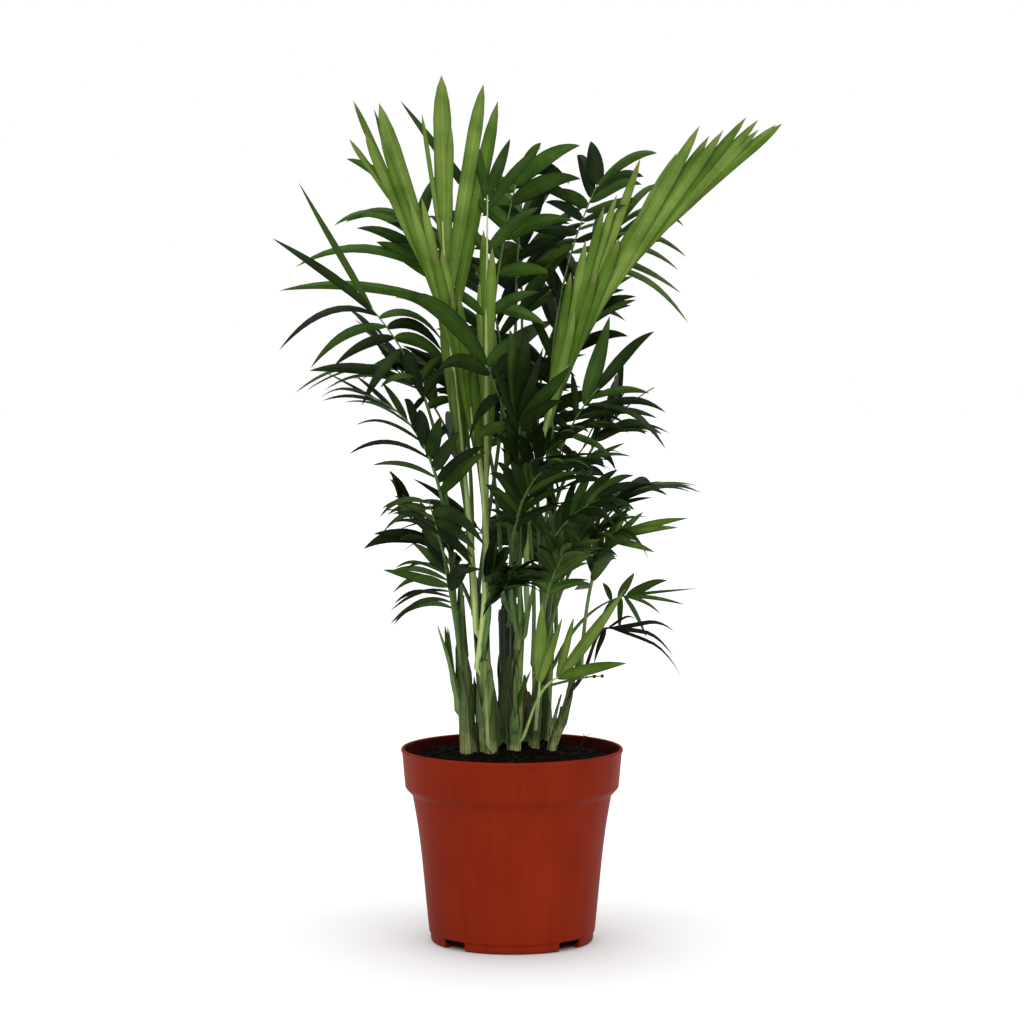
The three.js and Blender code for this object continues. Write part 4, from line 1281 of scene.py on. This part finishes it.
def sheath_of(piece, cane, low, high, facing, depth, flare, seed, wrap=1.08, off_by=0.0):
    """A leaf base rolled round the cane, open to one side at its mouth. One that wraps less than
    the whole cane is a tongue, pointed at the side away from its opening."""
    random = stream(seed)
    wave = [random() * TURN for _ in range(4)]
    turns = TURN * wrap
    winds = [i / SHEATH_SIDES for i in range(SHEATH_SIDES + 1)]

    def edge(angle):
        if wrap < 1:
            off = (angle - facing - math.pi) / (turns / 2)
            return high - depth * abs(off) ** 1.4
        open_share = (0.5 + 0.5 * math.cos(angle - facing)) ** 1.6
        return high - depth * open_share + 0.5 * math.sin(3 * angle + wave[0])

    def wall(share, wind):
        """The cane's middle at this height, the way out from it, and how far out the wall is."""
        angle = facing + turns * (wind - 0.5) + math.pi
        height = mix(low, edge(angle), share)
        middle, radius = drawn_at(cane, min(height, cane["top"] + 6))
        middle[2] = height
        reach = radius - SHEATH_SUNK + off_by + flare * share ** 2.2 + SHEATH_WOUND * wind
        reach += 0.1 * math.sin(5 * angle + wave[1]) * share + 0.07 * math.sin(9 * angle + wave[2])
        return middle, np.array([math.cos(angle), math.sin(angle), 0]), reach

    outer, inner = [], []
    for row in range(SHEATH_ROWS + 1):
        for wind in winds:
            middle, way, reach = wall(row / SHEATH_ROWS, wind)
            outer.append(middle + way * reach)
            inner.append(middle + way * (reach - SHEATH_THICK))
    wide, total, faces = len(winds), len(outer), []
    top = SHEATH_ROWS * wide
    for row in range(0, top, wide):
        for a in range(row, row + SHEATH_SIDES):
            b, c, d = a + wide, total + a, total + a + wide
            faces += [(a, a + 1, b + 1, b), (c + 1, c, d, d + 1)]
    for a in range(0, top, wide):
        b = a + SHEATH_SIDES
        faces += [(a, a + wide, total + a + wide, total + a),
                  (b + wide, b, total + b, total + b + wide)]
    for i in range(SHEATH_SIDES):
        a, b = top + i, total + top + i
        faces += [(a, a + 1, b + 1, b), (i + 1, i, total + i, total + i + 1)]
    places = [(i % wide / wide, i // wide / SHEATH_ROWS) for i in range(total)] * 2
    piece.add(outer + inner, faces, cane["name"], places)

    # the mouth's dry edge, torn into low points
    strip = []
    for wind in winds:
        middle, way, reach = wall(1.0, wind)
        tall = TEAR_LEAST + TEAR_MORE * random() ** 2
        inside = middle + way * (reach - SHEATH_THICK - MARGIN_OUT)
        strip += [middle + way * (reach + MARGIN_OUT) - UP * MARGIN_DOWN,
                  middle + way * (reach + 0.1 + 0.1 * random()) + UP * tall,
                  inside + UP * tall * 0.9, inside - UP * MARGIN_DOWN]
    last = SHEATH_SIDES * 4
    margins.add(strip, ring_quads(SHEATH_SIDES, 4, True)
                + [(0, 1, 2, 3), (last + 3, last + 2, last + 1, last)], cane["name"])


SHEATHS = {  # (share of the cane's height from, to, facing in degrees, mouth depth, flare)
    "cane_left": [(-0.02, 0.44, 200, 12, 0.5), (0.3, 0.74, 20, 10, 0.35),
        (0.62, 0.99, 190, 8, 0.3)],
    "cane_young": [(-0.02, 0.3, 300, 9, 0.45), (0.14, 0.72, 80, 12, 0.4),
        (0.55, 1.0, 250, 9, 0.3)],
    "cane_centre": [(-0.02, 0.36, 100, 10, 0.4), (0.28, 0.7, 260, 10, 0.35),
        (0.6, 1.0, 80, 9, 0.3)],
    "cane_front": [(-0.02, 0.62, 30, 16, 0.5), (0.36, 0.84, 210, 12, 0.35),
        (0.7, 1.0, 40, 8, 0.3)],
    "cane_husk": [(-0.02, 0.7, 280, 14, 0.9), (0.3, 1.0, 120, 12, 0.5)],
    "cane_right": [(-0.02, 0.4, 240, 9, 0.4), (0.28, 0.74, 60, 10, 0.35), (0.6, 1.0, 230, 8, 0.3)],
    "cane_slim": [(-0.02, 0.42, 60, 8, 0.35), (0.32, 0.98, 240, 9, 0.25)],
    "cane_leaning": [(-0.02, 0.5, 300, 7, 0.3), (0.4, 0.99, 120, 8, 0.25)],
    "cane_back_left": [(-0.02, 0.42, 150, 10, 0.45), (0.3, 0.76, 330, 10, 0.35),
        (0.62, 1.0, 150, 8, 0.3)],
    "cane_back": [(-0.02, 0.46, 60, 11, 0.5), (0.32, 0.78, 240, 10, 0.35),
        (0.64, 1.0, 70, 8, 0.3)],
    "cane_back_right": [(-0.02, 0.4, 10, 10, 0.4), (0.3, 0.74, 190, 10, 0.35),
        (0.6, 1.0, 20, 8, 0.3)],
}
SHEATH_KINDS = {
    **dict.fromkeys(("cane_young", "cane_front", "cane_slim", "cane_right"), pale_sheath),
    **dict.fromkeys(("cane_centre", "cane_back", "cane_back_left"), deep_sheath),
    "cane_husk": husk_sheath,
}
MOUTH_DEEPER = 2.3
MOUTH_WIDER = 1.7
TONGUES = 3
TONGUE_OFF = 0.34
TONGUE_LOW, TONGUE_HIGH = 20, 0.7  # a height over the soil, and a share of the cane's
TONGUE_FLARE, TONGUE_WRAP = (0.7, 1.8), (0.16, 0.36)
THROAT_FROM, THROAT_TO = -8, 9  # to the cane's top
TONGUE_KINDS = (green_sheath, deep_sheath, green_sheath, pale_sheath, deep_sheath, green_sheath)
for number, cane in enumerate(CANES):
    base, top, sheath = cane["base"], cane["top"], SHEATH_KINDS.get(cane["name"], green_sheath)
    core_of(cane, number)
    for count, (low, high, facing, depth, flare) in enumerate(SHEATHS[cane["name"]]):
        sheath_of(sheath, cane, mix(base, top, low), mix(base, top, high), math.radians(facing),
                  MOUTH_DEEPER * depth, MOUTH_WIDER * flare,
                  DETAIL_SEED + 200 + number * 10 + count)
    random = stream(DETAIL_SEED + 400 + number)
    for count in range(TONGUES):
        high = base + mix(TONGUE_LOW, TONGUE_HIGH * (top - base), random())
        facing = random() * TURN
        if count == 0:
            facing = math.radians(mix(40, 140, random()))
        sheath_of(one_of(TONGUE_KINDS, random), cane, base - 1, high, facing, 0.5 * (high - base),
                  mix(*TONGUE_FLARE, random()), DETAIL_SEED + 500 + number * 10 + count,
                  mix(*TONGUE_WRAP, random()), TONGUE_OFF * (count + 1))
    throat = []
    for step in range(6):
        middle, radius = drawn_at(cane, top + mix(THROAT_FROM, THROAT_TO, step / 5))
        radius *= mix(1.02, 0.3, smooth(step / 5))
        throat.append((middle, ACROSS, AWAY, radius, radius))
    sheath.add(*tube(throat, CORE_SIDES), cane["name"])
for piece in (cores, green_sheath, pale_sheath, deep_sheath, husk_sheath, margins):
    piece.build()

# ---------------- ribs
RIB_DRAWN_SIDES = 10
RIB_STEPS = 26
LEAD_STEPS = 5
RIB_THINS = 0.52  # share of the rib's radius that is gone at its tip, from a little before bare
STALKS = {
    "dark": Piece("ribs_dark", "leaf_dark",
                  stalk_material("rib_dark", (58, 84, 36), (84, 112, 52))),
    "mid": Piece("ribs_mid", "leaf_mid", stalk_material("rib_mid", (66, 92, 38), (100, 126, 60))),
    "fresh": Piece("ribs_fresh", "leaf_fresh",
                   stalk_material("rib_fresh", (128, 154, 78), (172, 190, 122))),
    "dead": Piece("ribs_withered", "leaf_withered",
                  dry_material("rib_withered", (24, 20, 14), (58, 48, 34))),
}


def draw_rib(grown):
    """The stalk, from inside its cane's sheath, and the rib that it becomes, thinning to its
    tip. A shoot, which has no leaflets of its own, is drawn out to a point."""
    row, rib = grown["row"], grown["rib"]
    cane = CANES[row["cane"]]
    start, along, side, face, radius = rib.at(0.0)
    lead = (cane_at(cane, row["foot"] - 6 - 4 * row["stalk"])[0],
            cane_at(cane, row["foot"] - 3)[0], start - along * 2.0, start)
    stations = [(bezier(lead, step / LEAD_STEPS), side, face, radius * 1.12, radius * 0.9)
                for step in range(LEAD_STEPS)]
    for step in range(RIB_STEPS + 1):
        share = step / RIB_STEPS
        point, along, side, face, radius = rib.at(share)
        leafy = smooth((share - row["bare"] + 0.08) / (1.08 - row["bare"]))
        if row["pairs"] == 0 and row["buds"] == 0:
            radius = row["stalk"] * (1 - share) ** 0.62 + 0.12
            leafy = 0
        radius *= 1 - RIB_THINS * leafy
        stations.append((point, side, face, radius, radius * 0.88))
    STALKS[row["tone"]].add(*tube(stations, RIB_DRAWN_SIDES), row["name"])


for grown in fronds:
    draw_rib(grown)

# ---------------- blades
STATIONS = (0, 0.035, 0.09, 0.17, 0.27, 0.38, 0.49, 0.6, 0.7, 0.79, 0.87, 0.94, 1.0)
RING = ((-1, 0), (-0.5, 1), (0, 1), (0.5, 1), (1, 0), (0.5, -1), (0, -1), (-0.5, -1))
LAST_RING = (len(STATIONS) - 2) * 8
BLADE_FACES = ring_quads(len(STATIONS) - 2, 8, True)
BLADE_FACES += [(LAST_RING + i, LAST_RING + 8, LAST_RING + j) for i, j, _ in around(8)]
BLADE_FACES.append(tuple(range(8)))
ACUMINATE_WIDEST = (0.52 / 1.42) ** 0.52 * (0.9 / 1.42) ** 0.9
BLADE_THICK = 0.13
FOOT_HALF = 0.42
MIDRIB_HIGH = 0.1
PLEAT_HIGH = 0.03
CURL_DEEP, CURL_FROM = 0.08, 0.55


def strap(share):
    """The folded leaflets of a spear: as wide for most of their length."""
    return min(1.0, 0.42 + 1.5 * share) * min(1.0, (1 - share) / 0.17) ** 0.64


def acuminate(share):
    """An open leaflet: widest below its middle, then drawn out to a point."""
    return share ** 0.52 * (1 - share) ** 0.9 / ACUMINATE_WIDEST


def draw_blade(piece, leaf, node, fold, twist, curl):
    """A leaflet: a thin closed blade, creased along its midrib, with a narrow foot and a
    drawn-out tip. fold sinks its edges, twist turns it along its length, curl bends its tip."""
    points, places = [], []
    down = -UP * (curl * leaf["length"] * CURL_DEEP)
    shape = strap if node in SPEARS and piece is not shaded_leaves else acuminate
    for share in STATIONS[:-1]:
        point, across, normal, _ = leaflet_at(leaf, share)
        late = max(0.0, (share - CURL_FROM) / (1 - CURL_FROM))
        point = point + down * late * late
        c, s = math.cos(twist * share), math.sin(twist * share)
        wide, high = across * c + normal * s, normal * c - across * s
        half = max(leaf["wide"] / 2 * shape(share), FOOT_HALF * (1 - share) ** 6)
        thick = BLADE_THICK * min(1.0, 8 * share + 0.8, 0.25 + 4 * (1 - share))
        for u, level in RING:
            rise = -fold * abs(u) * half + level * thick
            if u == 0 and level > 0:
                rise += MIDRIB_HIGH * (1 - share)
            if abs(u) == 0.5:
                rise += PLEAT_HIGH * half * (1 if level > 0 else 0.4)
            points.append(point + wide * (u * half) + high * rise)
            places.append((0.5 + 0.5 * u, share))
    points.append(leaflet_at(leaf, 1.0)[0] + down)
    piece.add(points, BLADE_FACES, node, places + [(0.5, 1.0)])


def leaf_piece(name, slot, low, high, dry_tip=False):
    material = leaf_material(f"blade_{name}", low, high, dry_tip)
    return Piece(f"leaves_{name}", f"leaf_{slot}", material, 28)


shaded_leaves = leaf_piece("shaded", "fresh", (34, 54, 17), (52, 76, 26))
olive_leaves = leaf_piece("olive", "dark", (46, 66, 24), (70, 94, 38))
bright_leaves = leaf_piece("bright", "mid", (66, 94, 32), (96, 124, 50))
green_leaves = leaf_piece("green", "dark", (36, 57, 17), (54, 78, 26))
soft_leaves = leaf_piece("soft", "mid", (46, 73, 22), (66, 96, 32))
LEAVES = {
    "dark": [leaf_piece("dark", "dark", (23, 37, 12), (37, 55, 19)),
             leaf_piece("deep", "dark", (16, 27, 9), (27, 41, 14)), green_leaves],
    "mid": [leaf_piece("mid", "mid", (33, 52, 16), (51, 75, 24)), soft_leaves],
    "fresh": [leaf_piece("fresh", "fresh", (62, 88, 25), (84, 110, 38), True),
              leaf_piece("lime", "fresh", (78, 104, 38), (108, 130, 58), True)],
    "dead": [Piece("leaves_withered", "leaf_withered",
                   dry_material("blade_withered", (8, 9, 6), (25, 25, 17)), 28)],
}
OWN_LEAVES = {
    "frond_bright_right": [soft_leaves, bright_leaves, bright_leaves],
    **dict.fromkeys(
        ("frond_front_low_4", "frond_front_low_5", "frond_low_right", "frond_outer_right"),
        [olive_leaves, olive_leaves, green_leaves]),
}
FOLDS, TWISTS, CURLS = (0.12, 0.4), (-26, 26), (-0.2, 1.4)
DEAD_CURL = 3
SHADED_FROM = 320  # the blades of the right spear above this height have opened and darkened
BRIGHT_FROM = 214  # the bright frond's leaflets below this height are older and darker
for index, grown in enumerate(fronds):
    name, tone = grown["row"]["name"], grown["row"]["tone"]
    random = stream(DETAIL_SEED + 3000 + index * 17)
    for leaf in grown["leaves"]:
        kind = one_of(OWN_LEAVES.get(name, LEAVES[tone]), random)
        if name == "frond_spear_right" and leaf["root"][2] > SHADED_FROM:
            kind = shaded_leaves
        if name == "frond_bright_right" and leaf["root"][2] < BRIGHT_FROM:
            kind = olive_leaves
        fold = mix(*FOLDS, random())
        twist = math.radians(mix(*TWISTS, random()))
        curl = mix(*CURLS, random() ** 1.5) if tone == "dark" else 0.3 * random()
        if tone == "fresh":
            twist *= 0.4
        if tone == "dead":
            curl = DEAD_CURL
        draw_blade(kind, leaf, name, fold, twist, curl)

# buds of the flower stalk
buds = Piece("flower_buds", "leaf_withered",
             dry_material("bud_dark", (26, 28, 13), (58, 62, 30)), 40)
random = stream(DETAIL_SEED + 7000)
for grown in fronds:
    for number, centre in enumerate(grown["buds"]):
        points, faces = rock(BUD_RADIUS * mix(0.3, 0.62, random()), 50 + number, True)
        buds.add(points + centre, faces, grown["row"]["name"])

for piece in (*STALKS.values(), *(p for kinds in LEAVES.values() for p in kinds),
              shaded_leaves, olive_leaves, bright_leaves, buds):
    piece.build()

# ---------------- floor, light and camera
FLOOR_CORNERS = [(-4000, -4000, 0), (4000, -4000, 0), (4000, 6000, 0), (-4000, 6000, 0)]
FLOOR_GREY = 0.72
WORLD_LIGHT = 0.44  # what the backdrop gives the plant. The camera sees it white
floor = mesh_object("floor", FLOOR_CORNERS, [(0, 1, 2, 3)])
floor_nodes = Nodes("floor_white", 0.9, 0.0)
feed(floor_nodes.shader, {"Base Color": grey(FLOOR_GREY)})
floor.data.materials.append(floor_nodes.material)

scene = bpy.context.scene
scene.view_settings.view_transform = "Standard"
scene.view_settings.look = "None"
world = bpy.data.worlds.new("studio")
world.use_nodes = True
tree = world.node_tree
seen = new_node(tree, "LightPath", {}, "Is Camera Ray")
level = new_node(tree, "MapRange", {"Value": seen, "To Min": WORLD_LIGHT, "To Max": 1.0})
feed(tree.nodes["Background"], {"Color": grey(1), "Strength": level})
scene.world = world


def sun(name, place, strength, spread):
    light = bpy.data.lights.new(name, "SUN")
    light.energy = strength
    light.angle = math.radians(spread)
    thing = bpy.data.objects.new(name, light)
    scene.collection.objects.link(thing)
    thing.rotation_euler = Vector(place).to_track_quat("Z", "Y").to_euler()


sun("key", (0.0, -0.78, 0.7), 2.6, 115)
sun("top", (0.0, 0.25, 1.0), 2.1, 46)

camera = bpy.data.objects.new("camera", bpy.data.cameras.new("camera"))
scene.collection.objects.link(camera)
CAMERA_PLACE = Vector((0, -CAMERA_AWAY, CAMERA_HEIGHT)) * MM
CAMERA_AIM = Vector((0, 0, 0.2323))
camera.location = CAMERA_PLACE
camera.rotation_euler = (CAMERA_AIM - CAMERA_PLACE).to_track_quat("-Z", "Y").to_euler()
camera.data.sensor_width = 36
camera.data.lens = 124.31
camera.data.clip_start = 0.05
camera.data.clip_end = 20
scene.camera = camera
